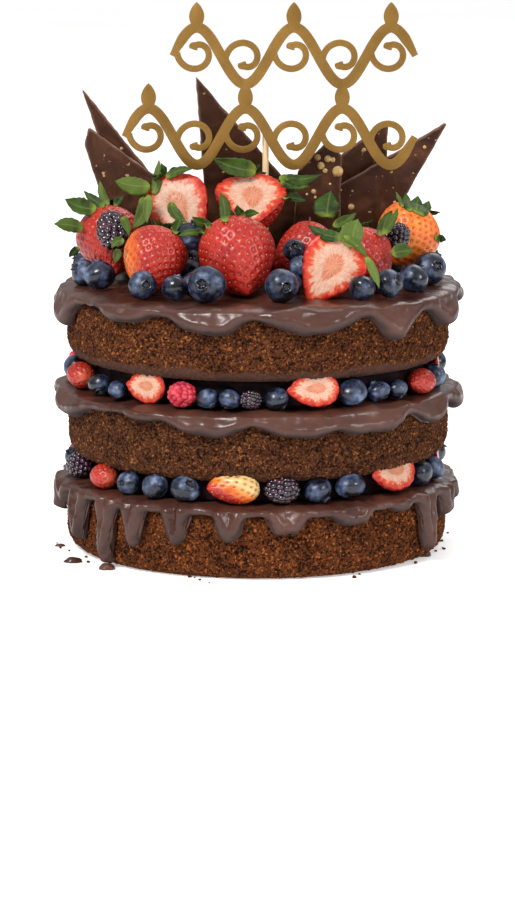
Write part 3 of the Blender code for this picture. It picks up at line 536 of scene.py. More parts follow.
def seed_places(seeds):
    """Where the seeds sit on the model: evenly spread, each a golden turn on from the last."""
    count = 400
    profile = [Vector((fruit_radius(i / count), MODEL_LENGTH * (0.5 - i / count))) for i in range(count + 1)]
    area = [0.0]
    for a, b in zip(profile, profile[1:]):
        area.append(area[-1] + (b - a).length * (a.x + b.x))
    found, i = [], 0
    for n in range(seeds):
        share = (FIRST_SEED + SEEDED * (n + 0.5) / seeds) * area[-1]
        while area[i + 1] < share:
            i += 1
        slope = (profile[i + 1] - profile[i]).normalized()
        turn = n * GOLDEN_TURN
        flat = Vector((math.cos(turn), math.sin(turn), 0))
        spot = flat * profile[i].x + Vector((0, 0, profile[i].y))
        normal = (flat * -slope.y + Vector((0, 0, slope.x))).normalized()
        found.append((spot, normal, (flat * slope.x + Vector((0, 0, slope.y))).normalized()))
    return found


def model_strawberry(around, rows, seeds, grain):
    """The bare fruit, with a dimple for each seed."""
    columns = []
    for i in range(around):
        a = 2 * math.pi * i / around
        column = []
        for j in range(rows + 1):
            t = j / rows
            s = 1 - (0.5 - 0.5 * math.cos(math.pi * t))
            r = fruit_radius(s) if 0 < j < rows else 0
            column.append((r * math.cos(a), r * math.sin(a), MODEL_LENGTH * (0.5 - s)))
        columns.append(column)
    piece = wrapped("model_strawberry", columns)
    spots = places(piece).astype(float)
    dent = np.zeros(len(spots))
    for spot, _, _ in seed_places(seeds):
        away = np.linalg.norm(spots - np.array(spot), axis=1)
        dent = np.maximum(dent, np.exp(-((away / (DENT_RADIUS * grain)) ** 2)))
    # the dent also darkens the skin there, as painted shade
    mark(piece, "dent", dent)
    mark(piece, "along", 0.5 - spots[:, 2] / MODEL_LENGTH)
    move_to(piece, spots - normals_of(piece) * (DENT_DEPTH * grain * dent)[:, None])
    return piece


def new_ball(steps, radius=1):
    """A sphere of triangles at the origin, the only piece that is selected."""
    bpy.ops.object.select_all(action="DESELECT")
    bpy.ops.mesh.primitive_ico_sphere_add(subdivisions=steps, radius=radius)
    return bpy.context.object


def copy_of(piece, name):
    made = piece.copy()
    made.data = piece.data.copy()
    made.name = made.data.name = name
    bpy.context.scene.collection.objects.link(made)
    return made


def joined(pieces, name):
    alone(pieces[0])
    for piece in pieces:
        piece.select_set(True)
    bpy.ops.object.join()
    pieces[0].name = pieces[0].data.name = name
    return pieces[0]


def model_seeds(seeds, grain):
    """The seeds of the model strawberry, as one piece: small flattened drops."""
    drop = new_ball(1)
    copies = []
    for spot, normal, down in seed_places(seeds):
        sides = (normal.cross(down), down, normal)
        shape = Matrix([side * half for side, half in zip(sides, SEED_SIZE)]).transposed().to_4x4()
        shape = shape @ Matrix.Scale(grain, 4)
        copied = copy_of(drop, "seed")
        copied.data.transform(Matrix.Translation(spot - normal * SEED_SUNK * grain) @ shape)
        copies.append(copied)
    bpy.data.objects.remove(drop)
    seeded = joined(copies, "model_seeds")
    bpy.ops.object.shade_smooth()
    return seeded


def cut_in_half(piece):
    """Cuts the fruit along its length and closes it with rings of faces that narrow to its core."""
    alone(piece)
    bpy.ops.object.mode_set(mode="EDIT")
    bpy.ops.mesh.select_all(action="SELECT")
    place, facing = (0, CUT_PLANE, 0), (0, -1, 0)
    bpy.ops.mesh.bisect(plane_co=place, plane_no=facing, clear_outer=True, threshold=CUT_PRECISION)
    bpy.ops.object.mode_set(mode="OBJECT")
    count = len(piece.data.vertices)
    on_cut = np.abs(places(piece)[:, 1] - CUT_PLANE) < DOUBLED
    bpy.ops.object.mode_set(mode="EDIT")
    core = Vector((0, CUT_PLANE, CORE_UP))
    for ring in range(1, FLESH_RINGS + 1):
        share = (1 - ring / FLESH_RINGS) / (1 - (ring - 1) / FLESH_RINGS)
        bpy.ops.mesh.extrude_edges_move()
        bpy.ops.transform.resize(value=(share**NARROWING, 1, share), center_override=core)
    bpy.ops.object.mode_set(mode="OBJECT")
    loop = (len(piece.data.vertices) - count) // FLESH_RINGS
    spots = places(piece)
    inward = np.zeros(len(spots))
    for ring in range(1, FLESH_RINGS + 1):
        inward[count + (ring - 1) * loop : count + ring * loop] = ring / FLESH_RINGS
    flesh = np.zeros(len(spots))
    flesh[count:] = 1
    flesh[:count][on_cut[:count]] = 1
    rise = LIP_RISE * np.sin(math.pi * np.clip(inward / LIP_BREADTH, 0, 0.5)) * (inward > 0)
    groove = GROOVE_DEPTH * np.exp(-(((inward - GROOVE_AT) / GROOVE_BREADTH) ** 2))
    spots[:, 1] -= rise - groove
    move_to(piece, spots)
    mark(piece, "inward", inward)
    turn = np.arctan2(spots[:, 0], spots[:, 2] - core.z)
    mark(piece, "east", np.sin(turn))
    mark(piece, "north", np.cos(turn))
    slots = np.array([min(flesh[v] for v in face.vertices) for face in piece.data.polygons])
    piece.data.polygons.foreach_set("material_index", (slots > 0.5).astype(np.int32) * 2)
    close_up(piece)
    return piece


def vary(piece, amount, closeness, shift):
    """Makes a piece lumpy and a little bent, by a smooth noise that the shift makes a different one."""
    spots = [Vector(p) for p in places(piece).astype(float)]
    move_to(piece, [p + amount * noise.noise_vector(p * closeness + shift) for p in spots])


fruit_look = look("strawberry_skin", 0.36, Specular_IOR_Level=0.36, Coat_Weight=0.11, Coat_Roughness=0.2)
here = place_of(fruit_look)
mottle = noise_of(fruit_look, here, 110, 3)
pale_end = ramp(fruit_look, attribute(fruit_look, "along"), [(0.0, 1.0), (0.16, 0.0)])
red = ramp(fruit_look, mottle, [(0.3, tint(144, 19, 17)), (0.7, tint(178, 43, 31))])
orange = ramp(fruit_look, mottle, [(0.3, tint(214, 90, 20)), (0.7, tint(236, 134, 48))])
unripe = attribute(fruit_look, "unripe")
orange = mixed(fruit_look, ramp(fruit_look, unripe, [(0.6, 0.0), (1.0, 1.0)]), orange, tint(206, 172, 112))
red = mixed(fruit_look, ramp(fruit_look, unripe, [(0.0, 0.0), (0.6, 1.0)]), red, orange)
red = mixed(fruit_look, math_of(fruit_look, "MULTIPLY", pale_end, 0.4), red, tint(214, 112, 78))
# Painted shade: the skin is darker red in the seed dimples.
dimple_shade = math_of(fruit_look, "MULTIPLY", attribute(fruit_look, "dent"), 0.55)
red = mixed(fruit_look, dimple_shade, red, tint(104, 7, 10))
pores, lumps = noise_of(fruit_look, here, 900, 3), noise_of(fruit_look, here, 300, 2)
wear(fruit_look, red, bump=blend_of(fruit_look, (pores, 0.3), (lumps, 0.7)), strength=0.4, distance=0.6 * MM)

seed_look = look("strawberry_seed", 0.5)
seed_shade = noise_of(seed_look, place_of(seed_look), 160)
wear(seed_look, ramp(seed_look, seed_shade, [(0.35, tint(150, 68, 32)), (0.65, tint(196, 132, 66))]))

flesh_look = look(
    "strawberry_flesh", 0.36, Specular_IOR_Level=0.35, Subsurface_Weight=0.1, Subsurface_Scale=2 * MM
)
inward = attribute(flesh_look, "inward")
east, north = attribute(flesh_look, "east"), attribute(flesh_look, "north")
depth = math_of(flesh_look, "MULTIPLY", inward, 0.9)
circle = node(flesh_look, "CombineXYZ", {0: east, 1: north, 2: depth}).outputs[0]
rays = noise_of(flesh_look, circle, 8, 3, 0.7)
teeth = noise_of(flesh_look, circle, 7, 1)
toothed = blend_of(flesh_look, (inward, 1.0), (teeth, -0.5))
body_stops = [(0.32, tint(188, 128, 100)), (0.5, tint(194, 152, 130)), (0.66, tint(200, 170, 150))]
body = ramp(flesh_look, rays, body_stops)
toothed = math_of(flesh_look, "ADD", toothed, 0.24)
rim_stops = [(0.02, tint(168, 30, 18)), (0.13, tint(190, 62, 32)), (0.26, tint(198, 104, 70))]
rim = ramp(flesh_look, toothed, rim_stops)
rim_share = ramp(flesh_look, toothed, [(0.17, 1.0), (0.32, 0.0)])
body = mixed(flesh_look, rim_share, body, rim)
core_share = ramp(flesh_look, inward, [(0.54, 0.0), (0.64, 0.85), (0.9, 0.6)])
core = ramp(flesh_look, rays, [(0.4, tint(168, 78, 48)), (0.6, tint(196, 126, 88))])
body = mixed(flesh_look, core_share, body, core)
heart = ramp(flesh_look, inward, [(0.84, 0.0), (0.96, 0.9)])
body = mixed(flesh_look, heart, body, tint(194, 126, 92))
wear(flesh_look, body, bump=rays, strength=0.15, distance=0.3 * MM)


LEAF_STEPS, LEAF_ROWS = 16, 8  # faces along a calyx leaf, and across any leaf


def sheet_of(steps):
    """A square sheet of faces, to be bent into a leaf. Its X goes along the leaf and its Y across."""
    bpy.ops.object.select_all(action="DESELECT")
    bpy.ops.mesh.primitive_grid_add(x_subdivisions=steps, y_subdivisions=LEAF_ROWS, size=1)
    return bpy.context.object


def thickened(piece, thickness):
    """Gives a sheet its real thickness."""
    step = piece.modifiers.new("thickness", "SOLIDIFY")
    step.thickness = thickness
    step.offset = 0
    bpy.ops.object.modifier_apply(modifier=step.name)
    return piece


def leaf(length, width, rise, curl, wave):
    """One calyx leaf along +X from the origin: a pointed, folded and wavy blade."""
    piece = sheet_of(LEAF_STEPS)
    moved = []
    x = z = 0.0
    path = []
    for i in range(LEAF_STEPS + 1):
        path.append((x, z))
        angle = math.radians(rise + curl * i / LEAF_STEPS)
        x += length / LEAF_STEPS * math.cos(angle)
        z += length / LEAF_STEPS * math.sin(angle)
    for vertex in piece.data.vertices:
        s, side = vertex.co.x + 0.5, 2 * vertex.co.y
        half = 0.5 * width * (0.16 + 0.84 * math.sin(math.pi * s**0.85)) * (1 - s**6)
        px, pz = path[round(LEAF_STEPS * s)]
        fold = 0.34 * half * abs(side) + 0.10 * width * math.sin(9 * s + wave) * side * side
        ruffle = 0.06 * width * math.sin(17 * s + 2 * wave) * side
        moved.append((px, half * side, pz + fold + ruffle * (1 - s)))
    move_to(piece, moved)
    close_up(piece)
    thickened(piece, 0.45 * MM)
    bpy.ops.object.shade_smooth()
    return piece


leaf_look = look("calyx_leaf", 0.5, Specular_IOR_Level=0.2)
here = place_of(leaf_look)
sheet = node(leaf_look, "UVMap", {}).outputs["UV"]
parts = node(leaf_look, "SeparateXYZ", {0: sheet})
off_rib = math_of(leaf_look, "ABSOLUTE", math_of(leaf_look, "SUBTRACT", parts.outputs["Y"], 0.5))
rib = ramp(leaf_look, off_rib, [(0.0, 1.0), (0.06, 0.0)])
slant = math_of(leaf_look, "SUBTRACT", parts.outputs["X"], math_of(leaf_look, "MULTIPLY", off_rib, 0.7))
veins = math_of(leaf_look, "ABSOLUTE", math_of(leaf_look, "SINE", math_of(leaf_look, "MULTIPLY", slant, 26)))
vein_share = ramp(leaf_look, veins, [(0.0, 0.5), (0.22, 0.0)])
uneven = noise_of(leaf_look, here, 150, 4)
green = ramp(leaf_look, uneven, [(0.36, tint(10, 26, 3)), (0.64, tint(42, 72, 11))])
green = mixed(leaf_look, attribute(leaf_look, "pale"), green, tint(88, 104, 40))
green = mixed(leaf_look, math_of(leaf_look, "MULTIPLY", vein_share, 0.3), green, tint(84, 110, 44))
green = mixed(leaf_look, math_of(leaf_look, "MULTIPLY", rib, 0.3), green, tint(126, 146, 70))
rooted = ramp(leaf_look, parts.outputs["X"], [(0.02, 0.8), (0.22, 0.0)])
green = mixed(leaf_look, rooted, green, tint(118, 134, 48))
wear(leaf_look, green, bump=veins, strength=0.3, distance=0.3 * MM)


LEAF_RISES, LEAF_CURLS, LEAF_WIDTHS = (-5, 40), (-40, 50), (0.42, 0.56)  # degrees, and shares of the length
STEM_LENGTH, STEM_SIDES = 4 * MM, 10
STEM_RADII = ((1.1 * MM, 0.3), (0.9 * MM, 0.7), (1.0 * MM, 1.0))  # at shares of the stem's length


def calyx(name, seed, count, length):
    """A strawberry's leaves and stem, sitting at the origin and opening upwards."""
    rng = random.Random(seed)
    made = []
    for i in range(count):
        size = length * rng.uniform(0.75, 1.15)
        width, rise = size * rng.uniform(*LEAF_WIDTHS), rng.uniform(*LEAF_RISES)
        curl, wave = rng.uniform(*LEAF_CURLS), rng.uniform(0, 6)
        blade = leaf(size, width, rise, curl, wave)
        around = 2 * math.pi * (i + rng.uniform(-0.25, 0.25)) / count
        spot = Matrix.Rotation(around, 4, "Z") @ Matrix.Translation((1.2 * MM, 0, -0.2 * MM * (i % 2)))
        blade.data.transform(spot @ Matrix.Rotation(rng.uniform(-0.35, 0.35), 4, "X"))
        made.append(blade)
    points = [(1.4 * MM, -1 * MM)] + [(radius, share * STEM_LENGTH) for radius, share in STEM_RADII]
    lean = rng.uniform(-0.3, 0.3)
    columns = []
    for i in range(STEM_SIDES):
        a = 2 * math.pi * i / STEM_SIDES
        column = [(0, 0, -1 * MM)] + [(r * math.cos(a) + lean * z, r * math.sin(a), z) for r, z in points]
        columns.append([*column, (lean * STEM_LENGTH, 0, STEM_LENGTH)])
    made.append(wrapped("stem", columns))
    return joined(made, name)


NEARLY_UP = (0.13, -0.2, 0.97)  # a way to look that no berry's axis takes


def turn_to(axis, face=None):
    """The rotation that takes Z to the axis and -Y as near to the face as it can."""
    z = axis.normalized()
    y = -(face or Vector(NEARLY_UP))
    y = (y - z * y.dot(z)).normalized()
    return Matrix((y.cross(z), y, z)).transposed().to_4x4()


def far_point(node_name, axis):
    """The point of a CAD node that lies farthest along the axis."""
    spots = places(frame["nodes"][node_name]).astype(float)
    return Vector(spots[np.argmax(spots @ np.array(axis))])


def fruit_models(around, rows, seeds, grain):
    """A whole fruit and a halved one, and the seeds of each, to be copied."""
    whole, pips = model_strawberry(around, rows, seeds, grain), model_seeds(seeds, grain)
    for piece in (whole, pips):
        for material in (fruit_look, seed_look, flesh_look):
            piece.data.materials.append(material)
    half = cut_in_half(copy_of(whole, "model_half"))
    pips.data.polygons.foreach_set("material_index", [1] * len(pips.data.polygons))
    half_pips = copy_of(pips, "model_half_seeds")
    alone(half_pips)
    bpy.ops.object.mode_set(mode="EDIT")
    bpy.ops.mesh.select_all(action="DESELECT")
    bpy.ops.object.mode_set(mode="OBJECT")
    for vertex in half_pips.data.vertices:
        vertex.select = vertex.co.y < CUT_PLANE + 1 * MM
    bpy.ops.object.mode_set(mode="EDIT")
    bpy.ops.mesh.select_linked()
    bpy.ops.mesh.delete(type="VERT")
    bpy.ops.object.mode_set(mode="OBJECT")
    return whole, half, pips, half_pips


# Fruit on top is seen closely. Between the tiers it is smaller, with fewer points and larger seeds.
# points round the fruit, rows of points along it, seeds, and how large these are
TOP_MODELS = fruit_models(150, 88, 270, 1.0)
RING_MODELS = fruit_models(84, 50, 95, 1.7)
FRUIT_LUMPS, LUMP_CLOSENESS = 1.6 * MM, 38
CONE_CENTRE = 0.2  # above the middle, where narrowing leaves the width as it is


def strawberry(name, models, halved, place, seed, unripe=None, cone=0.0):
    """A copy of the model fruit, narrowed to its tip and taken to its place by a matrix."""
    whole, half, pips, half_pips = models
    body = copy_of(half if halved else whole, name)
    seeds = copy_of(half_pips if halved else pips, "seeds")
    spots = places(body).astype(float)
    mark(body, "unripe", np.array([unripe(Vector(p)) for p in spots]) if unripe else np.zeros(len(spots)))
    for piece in (body, seeds):
        narrowed = places(piece).astype(float)
        narrowed[:, 0] *= 1 + cone * (narrowed[:, 2] / MODEL_LENGTH - CONE_CENTRE)
        move_to(piece, narrowed)
        vary(piece, FRUIT_LUMPS, LUMP_CLOSENESS, Vector((3.7 * seed, 1.3 * seed, 2.1 * seed)))
        piece.data.transform(place)
    return joined([body, seeds], name)


# name, length, width in mm, heading and drop of the tip in degrees, way that a cut face looks
STRAWBERRIES = (
    ("left", 40, 34, 12, 46, None), ("front_left", 38, 32, -20, 50, None), ("centre", 43, 40, 14, 42, None),
    ("cut_front", 39, 33, -80, 56, (6, 20)), ("front_right", 36, 28, 30, 50, None),
    ("under_top", 35, 29, 100, 6, None), ("middle_right", 36, 34, -60, 18, None),
    ("cut_left", 40, 33, 52, 60, (-4, 12)), ("right", 37, 33, -40, 35, None),
    ("cut_top", 37, 36, 0, 40, (0, 50)), ("back_left", 38, 33, 150, 35, None),
    ("back_middle", 40, 34, 200, 40, None), ("back_right", 38, 33, 215, 45, None),
)
# how much one narrows towards its tip, and where it lies off its CAD twin's tip in mm
CONES = {"cut_front": 0.42, "cut_left": 0.4, "cut_top": 0.45, "centre": 0.4, "front_left": 0.1, "right": 0.0}
USUAL_CONE = 0.25
NUDGES = {"cut_front": (1, -5, -3.5), "cut_left": (2.5, 0, 3.5), "right": (0, 0, -4), "left": (-3, 0, 3)}
IN_SIGHT = (
    "left", "front_left", "centre", "cut_front", "front_right",
    "middle_right", "cut_left", "right", "cut_top",
)
SMALL_CALYX, LARGE_CALYX = (6, 8.5 * MM), (7, 13 * MM)  # leaves and their length: small where in sight
NO_CALYX = ("under_top", "cut_front")
RIPENESS = {  # how unripe a fruit is at a point of the model
    "right": lambda p: 0.58,
    "front_left": lambda p: min(0.6, max(0, 60 * (-p.x - 0.005) + 12 * (-p.z))),
}
for seed, (word, length, width, heading, pitch, face) in enumerate(STRAWBERRIES):
    axis = way(heading, -pitch)
    middle = far_point(f"strawberry_{word}", axis) - axis * 0.5 * length * MM
    middle += Vector(NUDGES.get(word, (0, 0, 0))) * MM
    turning = Matrix.Translation(middle) @ turn_to(-axis, way(*face) if face else None)
    wide, tall = width * MM / MODEL_WIDTH, length * MM / MODEL_LENGTH
    placed = turning @ Matrix.Diagonal((wide, wide, tall, 1))
    unripe, cone = RIPENESS.get(word), CONES.get(word, USUAL_CONE)
    fruit = strawberry(f"fruit_{word}", TOP_MODELS, bool(face), placed, seed + 1, unripe, cone)
    if word not in NO_CALYX:
        leaves, size = SMALL_CALYX if word in IN_SIGHT else LARGE_CALYX
        green_top = calyx(f"calyx_{word}", seed + 40, leaves, size)
        green_top.data.materials.append(leaf_look)
        green_top.data.transform(turning @ Matrix.Translation((0, 0, 0.5 * length * MM - 0.6 * MM)))
        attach(green_top, "root")
    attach(fruit, "root")
    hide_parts(f"strawberry_{word}")

# The blueberries.
# Plump dark berries with a waxy bloom, rolled into the gaps along the rim and between the
# strawberries. Each has a small five-pointed crown round a dark hollow.
BLUEBERRY_FLATNESS = 0.88
# name, diameter in mm, heading and lift of the crown in degrees
BLUEBERRIES = (
    ("rim_01", 13.5, -60, 30), ("rim_02", 15.5, 200, 60), ("rim_03", 14.6, 20, 10), ("rim_04", 13.4, 160, 50),
    ("inner_01", 12.5, 40, 30), ("rim_05", 18.6, -18, 8), ("rim_06", 16.8, 20, 2), ("rim_07", 13.5, 140, 30),
    ("rim_08", 15.0, 60, 30), ("rim_09", 15.0, 120, 40), ("rim_10", 16.8, 30, 15), ("under_01", 19.0, 15, 25),
    ("under_02", 15.0, 80, 35), ("inner_02", 12.0, 10, 30), ("inner_03", 11.5, 30, 40),
    ("inner_05", 11.5, 0, 35), ("inner_04", 15.0, 15, 25), ("inner_06", 15.0, 60, 35),
    ("inner_07", 14.0, 220, 50), ("rim_11", 14.2, 80, 35), ("rim_12", 15.5, 130, 20),
    ("rim_13", 15.0, 180, 15), ("rim_14", 13.5, 190, 40), ("rim_15", 15.0, 210, 20),
    ("rim_16", 14.5, 230, 30), ("rim_17", 13.5, 260, 35), ("back_top", 15.0, 180, 40),
)
BERRY_SIDES, BERRY_ROWS, SHOULDER_LIFT = 40, 22, 72  # the last in degrees, where the crown starts
CROWN_POINTS, HOLLOW_RADIUS = 5, 0.27
BERRY_SHARE = 0.98  # of its solid's size, because its lumps reach out a little


def model_blueberry():
    """A berry of radius 1 with its crown on top."""
    columns = []
    for i in range(BERRY_SIDES):
        a = 2 * math.pi * i / BERRY_SIDES
        point = 0.5 + 0.5 * math.cos(CROWN_POINTS * a)
        column = []
        for j in range(BERRY_ROWS + 1):
            e = math.radians(-90 + (90 + SHOULDER_LIFT) * j / BERRY_ROWS)
            column.append((math.cos(e), BLUEBERRY_FLATNESS * math.sin(e)))
        shoulder = column[-1]
        tip = 0.10 + 0.08 * point
        column.append((shoulder[0] - 0.02, shoulder[1] + 0.55 * tip))
        column.append((shoulder[0] + 0.02 + 0.07 * point, shoulder[1] + tip))
        column.append((shoulder[0] - 0.05, shoulder[1] + 0.6 * tip))
        inner = 0.17 + 0.09 * point
        column += [(inner, shoulder[1] - 0.04), (0.75 * inner, shoulder[1] - 0.12)]
        column += [(0.4 * inner, shoulder[1] - 0.14), (0, shoulder[1] - 0.12)]
        columns.append([(r * math.cos(a), r * math.sin(a), z) for r, z in column])
    piece = wrapped("model_blueberry", columns)
    spots = places(piece)
    level = spots[:, 2] / BLUEBERRY_FLATNESS
    mark(piece, "crown", (np.hypot(spots[:, 0], spots[:, 1]) < HOLLOW_RADIUS) * (level > 0.3))
    return piece


blue_look = look("blueberry_skin", 0.4, Specular_IOR_Level=0.5)
here = place_of(blue_look)
broad, close = noise_of(blue_look, here, 110, 3), noise_of(blue_look, here, 380, 3)
bloom = blend_of(blue_look, (broad, 0.65), (close, 0.35))
skin_shades = (tint(8, 10, 17), tint(26, 33, 51), tint(54, 67, 94), tint(108, 124, 150))
blue = ramp(blue_look, bloom, list(zip((0.40, 0.49, 0.57, 0.67), skin_shades)))
blue = mixed(blue_look, attribute(blue_look, "crown"), blue, tint(20, 20, 30))
gloss = ramp(blue_look, bloom, [(0.42, 0.2), (0.6, 0.5)])
wear(blue_look, blue, gloss, noise_of(blue_look, here, 300, 3), 0.12, 0.3 * MM)

round_berry = model_blueberry()
round_berry.data.materials.append(blue_look)


def blueberry(name, place, seed):
    berry = copy_of(round_berry, name)
    vary(berry, 0.05, 1.1, Vector((2.3 * seed, 0.7 * seed, 1.9 * seed)))
    berry.data.transform(place)
    return berry


for seed, (word, diameter, heading, lift) in enumerate(BLUEBERRIES):
    axis = way(heading, lift)
    radius = 0.5 * diameter * MM
    middle = far_point(f"blueberry_{word}", -axis) + axis * BLUEBERRY_FLATNESS * radius
    placed = Matrix.Translation(middle) @ turn_to(axis) @ Matrix.Scale(BERRY_SHARE * radius, 4)
    berry = blueberry(f"berry_{word}", placed, seed)
    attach(berry, "root")
    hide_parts(f"blueberry_{word}")

# The brambles and raspberries.
# Clusters of small shiny drupelets round a core, purple-black or pink-red, a few of them on top
# and the rest squeezed between the tiers.
DRUPELET_ROWS, WIDEST_ROW = 8, 12.5
DRUPELET_SIZES, DRUPELET_PLACES, CLUSTER_CORE = (0.225, 0.275), (0.74, 0.8), 0.72


def model_cluster(name, seed):
    """A cluster that fills a ball of radius 1: rows of drupelets, each row half a step on."""
    rng = random.Random(seed)
    drupelet = new_ball(2)
    copies = []
    for j in range(DRUPELET_ROWS):
        e = math.pi * ((j + 0.5) / DRUPELET_ROWS - 0.5)
        count = max(1, round(WIDEST_ROW * math.cos(e)))
        for i in range(count):
            a = 2 * math.pi * (i + 0.5 * (j % 2) + rng.uniform(-0.12, 0.12)) / count
            spot = Vector((math.cos(e) * math.cos(a), math.cos(e) * math.sin(a), math.sin(e)))
            size, out = rng.uniform(*DRUPELET_SIZES), rng.uniform(*DRUPELET_PLACES)
            copied = copy_of(drupelet, "drupelet")
            copied.data.transform(Matrix.Translation(spot * out) @ Matrix.Scale(size, 4))
            copies.append(copied)
    drupelet.data.transform(Matrix.Scale(CLUSTER_CORE, 4))
    cluster = joined([drupelet, *copies], name)
    bpy.ops.object.shade_smooth()
    return cluster


bramble_look = look("bramble_skin", 0.2, Specular_IOR_Level=0.6, Coat_Weight=0.4, Coat_Roughness=0.12)
here = place_of(bramble_look)
dark_stops = [(0.35, tint(20, 9, 17)), (0.62, tint(46, 20, 38)), (0.78, tint(96, 24, 44))]
dark = ramp(bramble_look, noise_of(bramble_look, here, 260, 2), dark_stops)
wear(bramble_look, dark, bump=noise_of(bramble_look, here, 700, 2), strength=0.15, distance=0.2 * MM)
raspberry_look = look(
    "raspberry_skin", 0.38, Specular_IOR_Level=0.4, Subsurface_Weight=0.15, Subsurface_Scale=1 * MM
)
here = place_of(raspberry_look)
pink_stops = [(0.35, tint(150, 18, 40)), (0.7, tint(214, 70, 84))]
pink = ramp(raspberry_look, noise_of(raspberry_look, here, 260, 2), pink_stops)
wear(raspberry_look, pink, bump=noise_of(raspberry_look, here, 900, 3), strength=0.3, distance=0.2 * MM)
dark_cluster = model_cluster("model_bramble", 3)
dark_cluster.data.materials.append(bramble_look)
red_cluster = model_cluster("model_raspberry", 5)
red_cluster.data.materials.append(raspberry_look)

# name, length and width in mm, heading and lift of the long axis in degrees
BRAMBLES = (("left", 21, 16, 200, 55), ("right", 16, 13, 60, 50), ("back", 18, 14, 120, 10))
DRUPE_POLE = 0.46  # share of its length from the solid's middle to its end
for word, length, width, heading, lift in BRAMBLES:
    axis = way(heading, lift)
    middle = far_point(f"bramble_{word}", -axis) + axis * DRUPE_POLE * length * MM
    sizing = Matrix.Diagonal((0.5 * width * MM, 0.5 * width * MM, 0.5 * length * MM, 1))
    cluster = copy_of(dark_cluster, f"cluster_{word}")
    cluster.data.transform(Matrix.Translation(middle) @ turn_to(axis) @ sizing)
    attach(cluster, "root")
    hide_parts(f"bramble_{word}")

# The leaves in sight.
# The strawberries were laid on with calyx and stem. Their broad leaves stand up behind the fruit, lie
# over it and hang between the pieces. Each is placed by where the photograph shows its two ends.
PICTURE_WIDTH, PICTURE_HEIGHT, SENSOR = 515, 900, 36
LEAF_ABOVE, LEAF_REACH = 1.2 * MM, 16 * MM  # off the fruit below, and how far it is pulled forward at most
RIB_STEPS, RIB_SMOOTHINGS = 24, 3
LEAF_FOLDS = (-0.25, 0.3, 0.4)  # height of its edges over its rib, in its half widths
# foot: pixel across, down, and depth y in mm; the tip likewise; width in mm, paleness, bow in pixels
LEAVES = (
    ((96, 209, -2), (65, 199, -8), 9.0, 0.25, 3), ((104, 207, 0), (84, 191, 4), 4.5, 0.15, 1),
    ((83, 228, -10), (54, 224, -16), 7.0, 0.4, -1), ((79, 248, -14), (69, 257, -18), 4.0, 0.0, 0),
    ((108, 205, 4), (100, 180, 10), 4.0, 0.7, 2), ((116, 206, 6), (123, 196, 8), 4.0, 0.1, 0),
    ((150, 186, -8), (115, 181, -14), 9.0, 0.75, 2), ((153, 194, -6), (159, 160, 4), 5.0, 0.65, -2),
    ((166, 177, -4), (192, 169, -8), 4.5, 0.3, 2), ((145, 197, -12), (132, 229, -22), 7.5, 0.6, 4),
    ((149, 195, -14), (147, 223, -22), 4.5, 0.8, -1), ((171, 202, -20), (187, 222, -26), 5.5, 0.4, -5),
    ((175, 234, -36), (181, 217, -34), 5.0, 0.2, 0), ((208, 235, -40), (178, 236, -44), 3.6, 0.4, -3),
    ((211, 228, -38), (192, 217, -42), 5.0, 0.3, 1), ((225, 222, -50), (220, 192, -48), 5.5, 0.35, -2),
    ((243, 216, -48), (237, 205, -50), 4.0, 0.1, 1), ((243, 216, -48), (259, 213, -52), 3.6, 0.1, 1),
    ((256, 171, -4), (213, 158, -12), 9.0, 0.2, 3), ((124, 241, -50), (112, 248, -52), 4.5, 0.5, -3),
    ((117, 249, -48), (115, 263, -52), 4.0, 0.45, 1), ((123, 217, -26), (129, 235, -36), 4.0, 0.4, 1),
    ((279, 178, -6), (321, 175, 0), 6.0, 0.15, -3), ((284, 184, -6), (309, 187, -2), 5.5, 0.35, 2),
    ((283, 198, -6), (306, 201, -2), 5.0, 0.1, 1), ((281, 181, -8), (298, 192, -4), 5.0, 0.0, 1),
    ((327, 217, -6), (331, 191, 2), 13.0, 0.1, 1), ((333, 226, -10), (356, 213, -4), 5.0, 0.35, -2),
    ((342, 238, -66), (308, 225, -58), 6.0, 0.0, 3), ((351, 247, -68), (358, 219, -60), 11.0, 0.75, 1),
    ((344, 236, -68), (368, 259, -68), 3.5, 0.5, 2), ((366, 257, -70), (379, 288, -84), 4.2, 0.9, 2),
    ((382, 235, -40), (392, 211, -26), 8.0, 0.2, 2), ((383, 234, -40), (398, 208, -28), 4.0, 0.45, -2),
    ((392, 254, -46), (413, 251, -42), 7.0, 0.35, 1), ((411, 211, 4), (406, 193, 8), 4.6, 0.2, 1),
    ((416, 213, 6), (418, 196, 10), 6.5, 0.15, 0), ((421, 215, 6), (429, 201, 8), 5.5, 0.15, -1),
    ((403, 207, 4), (396, 192, 8), 2.2, 0.6, 0), ((435, 237, 0), (446, 240, -2), 4.0, 0.1, 0),
)


def sight_at(px, py):
    """Where the camera is, and the way it looks at a pixel of the photograph."""
    focal = PICTURE_HEIGHT * CAMERA_LENS / SENSOR
    turned = Matrix.Rotation(math.radians(90 - CAMERA_TILT), 3, "X")
    return Vector(CAMERA_PLACE), turned @ Vector((px - PICTURE_WIDTH / 2, PICTURE_HEIGHT / 2 - py, -focal))


def seen_at(px, py, y):
    """The point at depth y that the camera sees at a pixel of the photograph."""
    start, sight = sight_at(px, py)
    return start + sight * ((y - start.y) / sight.y)


def tree_of(pieces):
    """The pieces' faces, ready to be met by a line of sight."""
    points, faces = [], []
    for piece in pieces:
        shift = len(points)
        points += [vertex.co.copy() for vertex in piece.data.vertices]
        faces += [[shift + i for i in face.vertices] for face in piece.data.polygons]
    return BVHTree.FromPolygons(points, faces)


